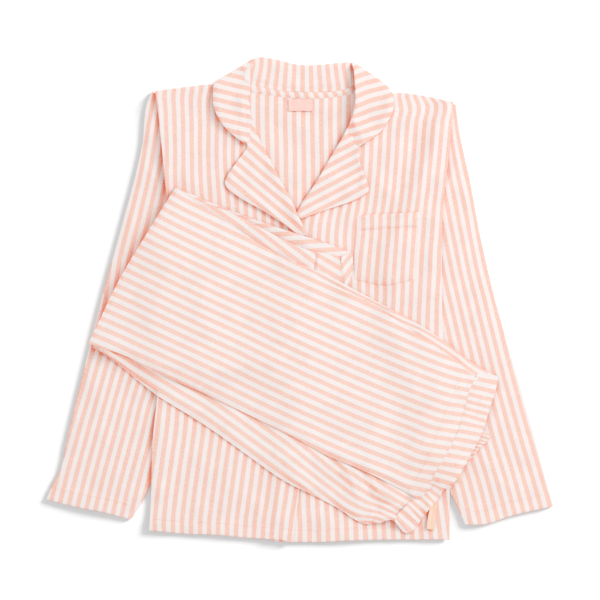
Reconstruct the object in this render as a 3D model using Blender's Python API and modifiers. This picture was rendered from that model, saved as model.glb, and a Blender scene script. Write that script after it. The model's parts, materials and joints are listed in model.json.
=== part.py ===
"""Women's pyjama set laid flat: a shirt with a notched collar, and its trousers folded across it.

Metres, +Z up. The set lies on the plane z = 0 with its box centred on the origin, and +Y points
to the collar. Left and right are the wearer's, so the right front lies at -X.

Every piece is a sheet lofted through a few sections and laid on what is already there, layer by
layer, the way the set is laid out on a table.
"""

import math

import bmesh
import bpy
import numpy as np
from mathutils import Vector
from mathutils.bvhtree import BVHTree

MM = 0.001

CLOTH = 1.2 * MM            # one layer of brushed cotton with its nap
LEG = 2.4 * MM              # the two layers of one leg, pressed together
TRIM = 1.0 * MM             # drawstring tape and neck label
LAY = 0.4 * MM              # air between two layers that lie on each other
TURN = 0.9 * MM             # rounding of a pressed edge

SLEEVE_AIR = 0.4 * MM       # air between the upper and lower layer of a sleeve
COLLAR_WRAP = 9.0 * MM      # width over which the collar bends down to its outer edge
KNEE_ROUND = 6.0 * MM       # how far the outer leg's knee fold rounds off
KNEE_INSET = 3.6 * MM       # the inner leg's knee fold lies this far inside the outer one
BUTTON_RADIUS = 5.75 * MM
BUTTON_THICKNESS = 2.2 * MM
BUTTON_SIDES = 20

FINE = 4                    # a laid sheet feels what is below at this many steps a cell
EASE = 6                    # smoothing passes of a laid sheet
LEG_EASE = 16               # and of a leg, which is stiffer
SKY = 0.2                   # height from which the layers below are felt
DOWN = Vector((0.0, 0.0, -1.0))

# Every table below has one row for each section: its name, then its points (x, y) in millimetres,
# from one edge of the piece to the other. A section bends smoothly through its points.

# Sleeves: across the arm, from the outer fold to the underarm side.
SLEEVE_RIGHT = (
    ("shoulder", (-215, 303), (-204, 297)),
    ("sleeve head", (-222, 286), (-186, 273)),
    ("upper arm", (-229, 225), (-171, 209)),
    ("armpit", (-239, 181), (-154, 151)),
    ("biceps", (-261, 99), (-128, 78)),
    ("elbow", (-287, 4), (-139, -19)),
    ("forearm", (-313, -100), (-165, -129)),
    ("lower arm", (-338, -204), (-199, -239)),
    ("wrist", (-348, -248), (-219, -271)),
    ("above hem", (-357, -265), (-229, -293)),
    ("hem", (-368, -289), (-325, -300), (-289, -307), (-245, -318)),
)
SLEEVE_LEFT = (
    ("shoulder", (226, 284), (216, 284)),
    ("sleeve head", (229, 265), (197, 252)),
    ("upper arm", (235, 225), (186, 203)),
    ("armpit", (245, 180), (165, 149)),
    ("biceps", (262, 90), (133, 62)),
    ("elbow", (283, 0), (139, -29)),
    ("forearm", (313, -104), (170, -138)),
    ("lower arm", (344, -213), (204, -249)),
    ("wrist", (360, -273), (228, -299)),
    ("hem", (368, -299), (307, -313), (268, -325), (240, -326)),
)

# Body: across the shirt, from -X to +X.
BACK = (
    ("hem", (-218, -332), (-122, -339), (-12, -348), (68, -347), (128, -346), (217, -346)),
    ("hip", (-213, -209), (215, -209)),
    ("waist", (-207, -136), (212, -136)),
    ("ribs", (-201, 0), (206, 0)),
    ("bust", (-196, 90), (205, 90)),
    ("armhole", (-193, 142), (207, 142)),
    ("chest", (-196, 174), (211, 174)),
    ("yoke", (-203, 255), (220, 255)),
    ("shoulder", (-210, 302), (-157, 309), (-121, 310), (-99, 313), (-72, 313), (-44, 306),
     (0, 300), (36, 300), (72, 306), (99, 300), (128, 298), (174, 296), (222, 286)),
)
FRONT_RIGHT = (
    ("hem", (-219, -334), (-165, -339), (-122, -341), (-86, -347), (-41, -347), (-11, -352)),
    ("above hem", (-216, -276), (-1, -276)),
    ("hip", (-214, -209), (0, -209)),
    ("waist", (-207, -136), (1, -136)),
    ("ribs", (-202, 0), (6, 0)),
    ("lapel break", (-196, 90), (10, 90)),
    ("bust", (-193, 142), (-12, 142)),
    ("chest", (-196, 174), (-29, 174)),
    ("notch", (-200, 218), (-52, 218)),
    ("yoke", (-204, 255), (-70, 255)),
    ("shoulder", (-210, 303), (-157, 310), (-126, 312), (-102, 297), (-72, 293)),
)
FRONT_LEFT = (
    ("hem", (-39, -350), (26, -351), (68, -349), (128, -347), (207, -346), (217, -348)),
    ("above hem", (-32, -277), (217, -277)),
    ("hip", (-29, -203), (215, -203)),
    ("waist", (-26, -136), (212, -136)),
    ("ribs", (-20, 0), (206, 0)),
    ("lapel break", (-14, 87), (206, 87)),
    ("bust", (-6, 128), (207, 128)),
    ("chest", (16, 160), (210, 160)),
    ("notch", (42, 203), (215, 203)),
    ("yoke", (67, 244), (219, 244)),
    ("shoulder", (81, 293), (116, 294), (139, 300), (174, 297), (222, 287)),
)

# Lapels: across the turned-back facing, from the roll line to its outer edge.
LAPEL_RIGHT = (
    ("gorge", (-69, 258), (-70.5, 241)),
    ("notch", (-62, 239), (-76, 223)),
    ("upper edge", (-52, 219), (-90, 203)),
    ("point", (-41, 199), (-104, 183)),
    ("widest", (-32, 180), (-109, 171)),
    ("round", (-23, 164), (-104, 160)),
    ("lower edge", (-14, 148), (-87, 148)),
    ("narrowing", (-6, 129), (-55, 130)),
    ("above break", (3, 110), (-22, 109)),
    ("break", (10, 93), (-3, 94)),
)
LAPEL_LEFT = (
    ("gorge", (67, 247), (80, 239)),
    ("notch", (59, 231), (84, 221)),
    ("upper edge", (49, 215), (87, 200)),
    ("point", (39, 197), (93, 183)),
    ("widest", (29, 180), (99, 167)),
    ("round", (19, 164), (99, 157)),
    ("lower edge", (10, 151), (83, 146)),
    ("narrowing", (3, 139), (51, 135)),
    ("above break", (-3, 130), (22, 125)),
    ("break", (-6, 126), (1, 117)),
)

# Collar: the fall behind the neck and the stand in front of it run across the neck, and the two
# ends of the fall run down the fronts.
COLLAR_BEHIND = (
    ("right shoulder", (-104, 293), (-107, 326)),
    ("right neck", (-87, 289), (-87, 338)),
    ("right roll", (-70, 286), (-68, 350)),
    ("right of centre", (-36, 283), (-36, 349)),
    ("centre back", (0, 281), (0, 341)),
    ("left of centre", (36, 281), (36, 342)),
    ("left roll", (58, 283), (58, 344)),
    ("left neck", (77, 284), (77, 344)),
    ("left shoulder", (99, 287), (102, 329)),
    ("left end", (119, 291), (120, 316)),
)
COLLAR_STAND = (
    ("right end", (-74, 315), (-70, 348)),
    ("right roll", (-62, 311), (-58, 351.7)),
    ("right of centre", (-36, 305), (-36, 349)),
    ("centre back", (0, 302), (0, 341)),
    ("left of centre", (36, 302), (36, 342)),
    ("left roll", (58, 304), (58, 344)),
    ("left end", (74, 309), (75, 344)),
)
COLLAR_FALL_RIGHT = (
    ("roll", (-72, 348), (-65, 349)),
    ("neck", (-87, 338), (-71, 334)),
    ("shoulder", (-107, 326), (-72, 322)),
    ("corner", (-123, 315), (-72, 310)),
    ("widest", (-126, 297), (-72, 293)),
    ("upper chest", (-125, 280), (-72, 276)),
    ("rounding", (-117, 262), (-70, 258)),
    ("narrowing", (-103, 244), (-72, 244)),
    ("point", (-87, 232), (-73, 235)),
    ("gorge", (-77, 225), (-74, 229)),
)
COLLAR_FALL_LEFT = (
    ("roll", (75, 344), (83, 341)),
    ("neck", (78, 331), (102, 329)),
    ("shoulder", (79, 316), (120, 316)),
    ("corner", (80, 303), (133, 303)),
    ("widest", (80, 289), (136, 289)),
    ("upper chest", (77, 271), (134, 271)),
    ("rounding", (72, 255), (126, 257)),
    ("narrowing", (70, 245), (115, 242)),
    ("point", (78, 236), (100, 231)),
    ("gorge", (81, 226), (86, 223)),
)

# Small pieces of the shirt: across each piece, from -X to +X.
NECK_BINDING = (
    ("lower edge", (-72, 301), (-44, 297), (0, 292), (36, 293), (77, 299)),
    ("upper edge", (-72, 314), (-44, 307), (0, 301), (36, 301), (77, 308)),
)
NECK_LABEL = (
    ("lower edge", (-17, 274), (18, 274)),
    ("upper edge", (-17, 291), (18, 291)),
)
CHEST_POCKET = (
    ("mouth", (83, 122), (116, 125), (145, 126), (175, 128)),
    ("hem", (80, 90), (173, 90)),
    ("middle", (78, 55), (170, 55)),
    ("foot", (78, 30), (122, 21), (168, 30)),
)
BUTTONS = (                 # x, y of each button on the hidden part of the front
    (-9, 55),
    (-9, -44),
    (-10, -142),
    (-11, -241),
)

# Trousers: across the legs, from the upper edge (+Y side) to the lower edge.
KNEE_UPPER = ("knee", (-180, 164), (-218, 103), (-260, 33), (-306, -62))
UPPER_LEG = (
    KNEE_UPPER,
    ("shin", (-145, 138), (-248, -83)),
    ("below knee", (-110, 115), (-196, -110)),
    ("above knee", (-72, 90), (-145, -133)),
    ("mid thigh", (-41, 71), (-93, -158)),
    ("thigh", (0, 49), (-41, -183)),
    ("upper thigh", (44, 25), (0, -204)),
    ("crotch", (87, 3), (36, -224)),
    ("seat", (145, -32), (77, -241)),
    ("hip", (196, -68), (116, -259)),
    ("below waist", (229, -90), (149, -276)),
    ("waist seam", (253, -111), (238, -157), (220, -206), (191, -257), (170, -288)),
)
UPPER_LEG_END = (
    ("hem", (75, 70), (77, 44), (70, 20), (51, -32), (17, -96)),
    ("above hem", (51, 78), (-14, -104)),
    ("ankle", (12, 91), (-72, -107)),
    ("calf", (-46, 110), (-152, -107)),
    ("shin", (-113, 135), (-232, -90)),
    KNEE_UPPER,
)
KNEE_LOWER = ("knee", (-174, 160), (-214, 97), (-256, 28), (-301, -68))
LOWER_LEG = (
    KNEE_LOWER,
    ("shin", (-138, 128), (-268, -90)),
    ("below knee", (-104, 103), (-212, -135)),
    ("above knee", (-67, 78), (-165, -165)),
    ("mid thigh", (-35, 59), (-117, -196)),
    ("thigh", (0, 52), (-67, -232)),
    ("upper thigh", (29, 41), (-30, -258)),
    ("crotch", (70, 20), (20, -284)),
    ("seat", (130, -12), (55, -302)),
    ("hip", (188, -45), (90, -324)),
    ("below waist", (245, -87), (116, -323)),
    ("waist seam", (271, -103), (246, -188), (194, -267), (173, -286), (152, -302), (136, -317)),
)
LOWER_LEG_END = (
    ("hem", (23, 68), (20, 45), (0, -14), (-41, -80)),
    ("above hem", (-14, 83), (-87, -93)),
    ("ankle", (-61, 107), (-145, -96)),
    ("calf", (-102, 128), (-203, -90)),
    ("shin", (-141, 141), (-254, -78)),
    KNEE_LOWER,
)

# Waistband casings: along the band, from its upper end (+Y side) to its lower end.
WAISTBAND_UPPER = (
    ("seam", (255, -109), (246, -130), (239, -157), (230, -186), (217, -214), (201, -241), (188, -266)),
    ("edge", (288, -114), (283, -132), (272, -168), (264, -193), (250, -220), (235, -246), (217, -276)),
)
WAISTBAND_LOWER = (
    ("seam", (272, -104), (260, -140), (247, -188), (195, -267), (174, -286), (153, -302), (137, -318)),
    ("edge", (288, -112), (280, -132), (273, -165), (275, -200), (229, -252), (207, -278), (162, -337)),
)
TAPE_LONG = (
    ("in the casing", (194, -286), (204, -291)),
    ("mouth", (186, -306), (196, -309)),
    ("middle", (183, -319), (195, -320)),
    ("end", (183, -332), (194, -335)),
)
TAPE_SHORT = (
    ("in the casing", (226, -235), (235, -235)),
    ("middle", (225, -249), (235, -249)),
    ("end", (225, -265), (234, -265)),
)

# Soft folds: start x, start y, end x, end y, half width and height, in millimetres.
FOLDS_FRONT_RIGHT = (
    (-150, 285, -160, 175, 16, 2.0),
    (-110, 215, -130, 150, 14, 1.6),
)
FOLDS_FRONT_LEFT = (
    (212, 270, 150, 140, 16, 3.0),
    (150, 262, 120, 150, 15, 1.8),
    (195, 120, 190, 10, 16, 1.8),
)
FOLDS_LOWER_LEG = (
    (10, -215, 100, -282, 14, 3.0),
    (75, -255, 150, -290, 12, 3.0),
    (60, -296, 140, -310, 12, 3.0),
)
FOLDS_UPPER_LEG = (
    (150, -150, 215, -190, 16, 2.0),
    (110, -215, 180, -250, 16, 2.0),
)
GATHERS_UPPER = 9           # soft gathers along each waistband casing
GATHERS_LOWER = 10
GATHER_HEIGHT = 0.8 * MM


def through(knots, values, at):
    """Smooth curve through values, one at each knot, read at the places given."""
    slopes = np.gradient(values, knots, axis=0)
    start = np.clip(np.searchsorted(knots, at, side="right") - 1, 0, len(knots) - 2)
    span = knots[start + 1] - knots[start]
    t = (at - knots[start]) / span
    shape = (-1,) + (1,) * (values.ndim - 1)
    t = t.reshape(shape)
    span = span.reshape(shape)
    return (values[start] * (2 * t**3 - 3 * t**2 + 1)
            + values[start + 1] * (3 * t**2 - 2 * t**3)
            + slopes[start] * span * (t**3 - 2 * t**2 + t)
            + slopes[start + 1] * span * (t**3 - t**2))


def distances(points):
    """Length along a run of points, at each point."""
    steps = np.linalg.norm(np.diff(points, axis=0), axis=1)
    return np.concatenate(([0.0], np.cumsum(steps)))


def loft(sections, rows, columns):
    """Plan of a sheet through its sections: rows along the piece, columns across it."""
    lines = []
    for _, *points in sections:
        points = np.array(points, float) * MM
        knots = distances(points)
        lines.append(through(knots, points, np.linspace(0.0, knots[-1], columns)))
    lines = np.array(lines)
    knots = distances(lines.mean(axis=1))
    return through(knots, lines, np.linspace(0.0, knots[-1], rows))


def refined(plan, steps):
    """The plan with each cell cut into steps by steps."""
    rows, columns = plan.shape[:2]
    along = np.linspace(0, rows - 1, (rows - 1) * steps + 1)
    across = np.linspace(0, columns - 1, (columns - 1) * steps + 1)
    row = np.minimum(along.astype(int), rows - 2)
    column = np.minimum(across.astype(int), columns - 2)
    s = (along - row)[:, None, None]
    t = (across - column)[None, :, None]
    near = plan[row][:, column] * (1 - t) + plan[row][:, column + 1] * t
    far = plan[row + 1][:, column] * (1 - t) + plan[row + 1][:, column + 1] * t
    return near * (1 - s) + far * s


def pile_tree(pile):
    """Search tree of the upper faces of all the sheets in a pile."""
    points = []
    faces = []
    for sheet_points, thickness in pile:
        rows, columns = sheet_points.shape[:2]
        first = len(points)
        points.extend((x, y, z + thickness / 2) for x, y, z in sheet_points.reshape(-1, 3))
        for row in range(rows - 1):
            for column in range(columns - 1):
                corner = first + row * columns + column
                faces.append((corner, corner + 1, corner + columns + 1, corner + columns))
    return BVHTree.FromPolygons(points, faces)


def eased(heights, passes):
    """Heights smoothed without ever dropping below the ones given."""
    smooth = heights
    for _ in range(passes):
        edged = np.pad(smooth, 1, mode="edge")
        mean = (edged[:-2, 1:-1] + edged[2:, 1:-1] + edged[1:-1, :-2] + edged[1:-1, 2:]) / 4
        smooth = np.maximum(heights, mean)
    return smooth


def laid(plan, thickness, pile, passes):
    """Middle surface of a sheet laid on a pile: each point clears all that its cells cover."""
    rows, columns = plan.shape[:2]
    tops = np.zeros((rows, columns))
    if pile:
        tree = pile_tree(pile)
        fine = refined(plan, FINE)
        felt = np.zeros(fine.shape[:2])
        for place in np.ndindex(felt.shape):
            hit = tree.ray_cast(Vector((*fine[place], SKY)), DOWN)[0]
            felt[place] = hit.z + LAY if hit else 0.0
        for row, column in np.ndindex(rows, columns):
            tops[row, column] = felt[max(0, (row - 1) * FINE):(row + 1) * FINE + 1,
                                     max(0, (column - 1) * FINE):(column + 1) * FINE + 1].max()
    heights = eased(tops, passes) + thickness / 2
    return np.dstack((plan, heights))


def along_line(plan, start, end):
    """Distance of each point of a plan from a line, and its place along it from 0 to 1."""
    start = np.array(start) * MM
    run = np.array(end) * MM - start
    place = ((plan - start) @ run) / (run @ run)
    nearest = start + np.clip(place, 0, 1)[..., None] * run
    return np.linalg.norm(plan - nearest, axis=-1), place


def add_folds(points, folds):
    """Raise soft ridges along the lines of a table of folds, fading towards their ends."""
    for x0, y0, x1, y1, width, height in folds:
        away, place = along_line(points[..., :2], (x0, y0), (x1, y1))
        fade = np.sin(np.pi * np.clip(place, 0, 1)) ** 0.7
        points[..., 2] += height * MM * fade * np.exp(-(away / (width * MM)) ** 2)


def add_gathers(points, count, height):
    """Waves along the columns of a casing, for the cloth its drawstring draws together."""
    columns = points.shape[1]
    phase = 2 * math.pi * count * np.linspace(0, 1, columns)
    points[..., 2] += height * (0.5 - 0.5 * np.cos(phase))


def new_material(name, color, roughness):
    """Cloth or plastic of one colour."""
    material = bpy.data.materials.new(name)
    material.use_nodes = True
    shader = material.node_tree.nodes["Principled BSDF"]
    shader.inputs["Base Color"].default_value = (*color, 1.0)
    shader.inputs["Roughness"].default_value = roughness
    shader.inputs["Metallic"].default_value = 0.0
    return material


def sheet_object(name, points, thickness, material, collection, closed=False, rounding=0.0):
    """Object whose wall lies on both sides of a grid of points; a closed one is a tube."""
    rows, columns = points.shape[:2]
    bm = bmesh.new()
    bmesh.ops.create_grid(bm, x_segments=columns - 1, y_segments=rows - 1, size=0.5)
    for vert in bm.verts:
        column = round((vert.co.x + 0.5) * (columns - 1))
        row = round((vert.co.y + 0.5) * (rows - 1))
        vert.co = points[row, column]
    if closed:
        bmesh.ops.remove_doubles(bm, verts=bm.verts, dist=0.01 * MM)
    mesh = bpy.data.meshes.new(name)
    bm.to_mesh(mesh)
    bm.free()
    mesh.materials.append(material)
    piece = bpy.data.objects.new(name, mesh)
    collection.objects.link(piece)
    wall = piece.modifiers.new("wall", "SOLIDIFY")
    wall.thickness = thickness
    wall.offset = 0.0
    wall.use_even_offset = not closed
    if rounding:
        bevel = piece.modifiers.new("pressed edge", "BEVEL")
        bevel.width = rounding
        bevel.segments = 2
        bevel.limit_method = "ANGLE"
        bevel.angle_limit = math.radians(60)
    return piece


def lay_sheet(name, sections, rows, columns, thickness, material, pile, folds=(), gathers=0):
    """Loft a sheet, lay it on the pile, make its object and add it to the pile."""
    points = laid(loft(sections, rows, columns), thickness, pile, EASE)
    add_folds(points, folds)
    add_gathers(points, gathers, GATHER_HEIGHT)
    sheet_object(name, points, thickness, material, pyjamas)
    pile.append((points, thickness))
    return points


def lay_sleeve(name, sections, rows, material, pile):
    """A sleeve pressed flat on the surface: a tube of two layers, open at both ends."""
    flat = 7
    bends = 3
    low = CLOTH / 2
    high = low + CLOTH + SLEEVE_AIR
    radius = (high - low) / 2
    plan = loft(sections, rows, flat)
    ring = []
    for line in plan:
        outward = line[-1] - line[0]
        outward /= np.linalg.norm(outward)
        inset = radius + CLOTH / 2
        slack = np.linspace(1, -1, flat)[:, None] * outward * inset
        level = line + slack
        points = [(x, y, low) for x, y in level]
        for step in range(1, bends + 1):
            angle = math.pi * step / (bends + 1)
            x, y = level[-1] + outward * radius * math.sin(angle)
            points.append((x, y, low + radius - radius * math.cos(angle)))
        points += [(x, y, high) for x, y in level[::-1]]
        for step in range(1, bends + 1):
            angle = math.pi * step / (bends + 1)
            x, y = level[0] - outward * radius * math.sin(angle)
            points.append((x, y, high - radius + radius * math.cos(angle)))
        points.append(points[0])
        ring.append(points)
    sheet_object(name, np.array(ring), CLOTH, material, pyjamas, closed=True)
    pile.append((np.dstack((plan, np.full(plan.shape[:2], high))), CLOTH))


def inset_knee(sections, distance):
    """The sections with their knee moved in along the leg, to leave room for its rounding."""
    moved = []
    for name, *points in sections:
        if name == "knee":
            run = np.array(points[-1], float) - np.array(points[0], float)
            inward = np.array((-run[1], run[0])) / np.linalg.norm(run)
            points = [tuple(np.array(point) + inward * distance / MM) for point in points]
        moved.append((name, *points))
    return tuple(moved)


def knee_rows(under, over, bulge, count=5):
    """Rows that round the knee fold, from the turned-under end to the leg above it."""
    run = over[-1] - over[0]
    outward = np.array((run[1], -run[0], 0.0))
    outward /= np.linalg.norm(outward)
    rows = []
    for step in range(1, count + 1):
        angle = math.pi * step / (count + 1)
        share = (1 - math.cos(angle)) / 2
        rows.append(under * (1 - share) + over * share + outward * bulge * math.sin(angle))
    return np.array(rows)


def drawn_down(points, edge, level, width):
    """Bring a sheet down to a level at the edge line where it wraps under."""
    nearest = np.full(points.shape[:2], np.inf)
    for start, end in zip(edge[:-1], edge[1:]):
        away, _ = along_line(points[..., :2], start, end)
        nearest = np.minimum(nearest, away)
    share = np.clip(nearest / width, 0, 1)
    share = share * share * (3 - 2 * share)
    points[..., 2] = level + (points[..., 2] - level) * share


def build_collar(pile, material):
    """One collar: the fall behind the neck, the stand, and the two ends over the fronts."""
    roll_edge = [section[2] for section in COLLAR_BEHIND]
    behind = sheet_object("collar", collar_behind, CLOTH, material, pyjamas)
    tops = (
        ("stand", COLLAR_STAND, 12, 5),
        ("right end", COLLAR_FALL_RIGHT, 15, 6),
        ("left end", COLLAR_FALL_LEFT, 15, 6),
    )
    for name, sections, rows, columns in tops:
        points = laid(loft(sections, rows, columns), CLOTH, pile, 2)
        drawn_down(points, roll_edge, CLOTH, COLLAR_WRAP)
        part = sheet_object("collar " + name, points, CLOTH, material, joins)
        part.hide_render = True
        part.display_type = "WIRE"
        union = behind.modifiers.new("join " + name, "BOOLEAN")
        union.operation = "UNION"
        union.solver = "EXACT"
        union.object = part
        pile.append((points, CLOTH))


def add_button(number, x, y, pile, material):
    """A plain sewn-on button, standing on the front."""
    hit = pile_tree(pile).ray_cast(Vector((x * MM, y * MM, SKY)), DOWN)[0]
    foot = hit.z + LAY
    mesh = bpy.data.meshes.new("button")
    bm = bmesh.new()
    bmesh.ops.create_cone(bm, cap_ends=True, segments=BUTTON_SIDES, radius1=BUTTON_RADIUS,
                          radius2=BUTTON_RADIUS, depth=BUTTON_THICKNESS)
    bm.to_mesh(mesh)
    bm.free()
    mesh.materials.append(material)
    button = bpy.data.objects.new(f"button_{number}", mesh)
    button.location = (x * MM, y * MM, foot + BUTTON_THICKNESS / 2)
    pyjamas.objects.link(button)
    square = np.array([[(x * MM + dx, y * MM + dy, foot) for dx in (-BUTTON_RADIUS, BUTTON_RADIUS)]
                       for dy in (-BUTTON_RADIUS, BUTTON_RADIUS)])
    pile.append((square, 2 * BUTTON_THICKNESS))


for leftover in list(bpy.data.objects):
    bpy.data.objects.remove(leftover, do_unlink=True)

pyjamas = bpy.data.collections.new("pyjama set")
joins = bpy.data.collections.new("collar joins")
bpy.context.scene.collection.children.link(pyjamas)
bpy.context.scene.collection.children.link(joins)

cloth = new_material("striped_cotton", (0.93, 0.72, 0.64), 0.92)
satin = new_material("label_satin", (0.97, 0.70, 0.64), 0.6)
tape = new_material("cotton_tape", (0.95, 0.66, 0.50), 0.9)
resin = new_material("button_resin", (0.94, 0.90, 0.86), 0.3)

# Shirt, from the surface up: collar behind the neck, sleeves, back, fronts, lapels, collar.
pile = []
collar_behind = laid(loft(COLLAR_BEHIND, 16, 4), CLOTH, pile, EASE)
pile.append((collar_behind, CLOTH))
lay_sleeve("sleeve_right", SLEEVE_RIGHT, 20, cloth, pile)
lay_sleeve("sleeve_left", SLEEVE_LEFT, 20, cloth, pile)
lay_sheet("back", BACK, 26, 19, CLOTH, cloth, pile)
lay_sheet("front_left", FRONT_LEFT, 28, 12, CLOTH, cloth, pile, FOLDS_FRONT_LEFT)
lay_sheet("lapel_left", LAPEL_LEFT, 14, 5, CLOTH, cloth, pile)
lay_sheet("chest_pocket", CHEST_POCKET, 8, 8, CLOTH, cloth, pile)
lay_sheet("front_right", FRONT_RIGHT, 28, 11, CLOTH, cloth, pile, FOLDS_FRONT_RIGHT)
lay_sheet("lapel_right", LAPEL_RIGHT, 14, 5, CLOTH, cloth, pile)
lay_sheet("neck_binding", NECK_BINDING, 3, 12, CLOTH, cloth, pile)
build_collar(pile, cloth)
lay_sheet("neck_label", NECK_LABEL, 3, 4, TRIM, satin, pile)
for number, (x, y) in enumerate(BUTTONS, 1):
    add_button(number, x, y, pile, resin)

# Trousers, from the bottom up: both turned-under ends, the lower leg, the upper leg.
outer_inset = KNEE_ROUND
inner_inset = KNEE_INSET + LEG / 2
under_outer = laid(loft(inset_knee(UPPER_LEG_END, outer_inset), 17, 11), LEG, pile, LEG_EASE)
pile.append((under_outer, LEG))
under_inner = laid(loft(inset_knee(LOWER_LEG_END, inner_inset), 14, 11), LEG, pile, LEG_EASE)
pile.append((under_inner, LEG))

over_inner = laid(loft(inset_knee(LOWER_LEG, inner_inset), 30, 11), LEG, pile, LEG_EASE)
add_folds(over_inner, FOLDS_LOWER_LEG)
inner_knee = knee_rows(under_inner[-1], over_inner[0], inner_inset - LEG / 2 - LAY)
sheet_object("leg_lower", np.concatenate((under_inner, inner_knee, over_inner)), LEG,
             cloth, pyjamas, rounding=TURN)
pile.append((over_inner, LEG))

lay_sheet("drawstring_long", TAPE_LONG, 6, 3, TRIM, tape, pile)
lay_sheet("waistband_lower", WAISTBAND_LOWER, 3, 41, CLOTH, cloth, pile, (), GATHERS_LOWER)

over_outer = laid(loft(inset_knee(UPPER_LEG, outer_inset), 30, 11), LEG, pile, LEG_EASE)
add_folds(over_outer, FOLDS_UPPER_LEG)
outer_knee = knee_rows(under_outer[-1], over_outer[0], outer_inset - LEG / 2)
sheet_object("leg_upper", np.concatenate((under_outer, outer_knee, over_outer)), LEG,
             cloth, pyjamas, rounding=TURN)
pile.append((over_outer, LEG))

lay_sheet("drawstring_short", TAPE_SHORT, 4, 3, TRIM, tape, pile)
lay_sheet("waistband_upper", WAISTBAND_UPPER, 4, 37, CLOTH, cloth, pile, (), GATHERS_UPPER)
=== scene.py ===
# %% [markdown]
# # A pyjama set laid out on a table
# A striped shirt lies flat on its back, and its trousers, folded leg on leg, lie across it. It is
# all brushed cotton a millimetre or so thick, so this lesson is about cloth: each part of the
# pattern is lofted through a few lines measured in millimetres, laid on what is already there,
# creased and given two faces and a rounded rim.

import json
import math

import bpy
import numpy as np
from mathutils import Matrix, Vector

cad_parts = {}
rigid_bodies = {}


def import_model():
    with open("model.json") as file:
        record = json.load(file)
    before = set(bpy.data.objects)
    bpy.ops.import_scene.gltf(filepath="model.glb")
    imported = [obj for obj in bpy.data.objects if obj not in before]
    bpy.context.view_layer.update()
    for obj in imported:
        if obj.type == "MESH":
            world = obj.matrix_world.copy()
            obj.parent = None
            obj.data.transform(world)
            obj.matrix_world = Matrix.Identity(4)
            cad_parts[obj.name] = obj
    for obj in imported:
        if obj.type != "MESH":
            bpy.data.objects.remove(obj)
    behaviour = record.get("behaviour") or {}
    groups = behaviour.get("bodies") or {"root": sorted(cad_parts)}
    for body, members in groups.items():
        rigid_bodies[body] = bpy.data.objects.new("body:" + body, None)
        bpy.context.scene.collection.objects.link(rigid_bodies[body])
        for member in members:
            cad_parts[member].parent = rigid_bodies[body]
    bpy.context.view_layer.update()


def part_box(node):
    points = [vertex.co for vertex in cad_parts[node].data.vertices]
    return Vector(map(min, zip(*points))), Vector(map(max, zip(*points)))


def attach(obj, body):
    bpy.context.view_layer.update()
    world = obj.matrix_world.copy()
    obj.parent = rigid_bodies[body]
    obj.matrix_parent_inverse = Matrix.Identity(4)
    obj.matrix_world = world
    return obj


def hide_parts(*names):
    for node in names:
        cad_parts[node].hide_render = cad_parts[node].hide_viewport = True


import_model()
MM = 0.001

# %% [markdown]
# ## Camera
# The set is seen from straight above. A long lens keeps the view nearly free of perspective, so a
# millimetre at the collar looks as long as one at the hem.

# %% Camera straight above
VIEW_WIDTH = 870 * MM       # at the height of the shirt's cloth
CLOTH_HEIGHT = 6 * MM


def placed(name, data):
    """A new object in the scene."""
    made = bpy.data.objects.new(name, data)
    bpy.context.scene.collection.objects.link(made)
    return made


lens = bpy.data.cameras.new("camera")
lens.lens, lens.sensor_width, lens.clip_end = 200.0, 36.0, 60.0
camera = placed("camera", lens)
camera.location.z = VIEW_WIDTH * lens.lens / lens.sensor_width + CLOTH_HEIGHT
bpy.context.scene.camera = camera
bpy.context.scene.view_settings.view_transform = "Standard"
print("camera height, m:", round(camera.location.z, 3))

# %% [markdown]
# ## Adding nodes
# A material is a small graph. One function adds a node, sets its options and fills its sockets,
# either with a value or with a link from another node. Colours are written as sRGB hex, as a paint
# chart gives them, and turned into the linear values that light adds up in.


# %% A node and a colour
def fill(tree, target, sockets):
    """Fill a node's inputs, each with a value or with a link from another node's output."""
    for socket, value in sockets.items():
        if isinstance(value, bpy.types.NodeSocket):
            tree.links.new(value, target.inputs[socket])
        else:
            target.inputs[socket].default_value = value


def node(tree, kind, sockets=None, **options):
    """Add a node with its options set and its inputs filled."""
    added = tree.nodes.new(kind)
    for option, value in options.items():
        setattr(added, option, value)
    fill(tree, added, sockets or {})
    return added


def linear(code):
    """Linear red, green, blue and alpha of an sRGB hex colour."""
    parts = [int(code[at:at + 2], 16) / 255 for at in (0, 2, 4)]
    return (*[c / 12.92 if c <= 0.04045 else ((c + 0.055) / 1.055) ** 2.4 for c in parts], 1.0)


def blank_material(name):
    """A material with its node tree and its shader."""
    made = bpy.data.materials.new(name)
    made.use_nodes = True
    return made, made.node_tree, made.node_tree.nodes["Principled BSDF"]


print("peach in linear light:", [round(c, 3) for c in linear("F8D0C3")])

# %% [markdown]
# ## Common steps
# A few steps come back in each material: noise, mapping a value from one range to another,
# combining two values, and blending or shading a colour. Each gets a short name.


# %% Noise, ranges, sums and colours
def noise(tree, place, scale, detail, roughness=0.5, distortion=0.0):
    """Soft noise, with blobs of about 1 / scale in the place's own unit."""
    sockets = {"Vector": place, "Scale": scale, "Detail": detail, "Roughness": roughness,
               "Distortion": distortion}
    return node(tree, "ShaderNodeTexNoise", sockets).outputs[0]


def ranged(tree, value, low=0.0, high=1.0, to_low=0.0, to_high=1.0, **options):
    """A value mapped from one range to another, and held at its ends."""
    sockets = {0: value, 1: low, 2: high, 3: to_low, 4: to_high}
    return node(tree, "ShaderNodeMapRange", sockets, **options).outputs[0]


def combined(tree, operation, first, second):
    """Sum, product or another combination of two values."""
    return node(tree, "ShaderNodeMath", {0: first, 1: second}, operation=operation).outputs[0]


def blended(tree, share, first, second):
    """The first colour, turning into the second as the share grows."""
    sockets = {0: share, 6: first, 7: second}
    return node(tree, "ShaderNodeMix", sockets, data_type="RGBA").outputs[2]


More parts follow.
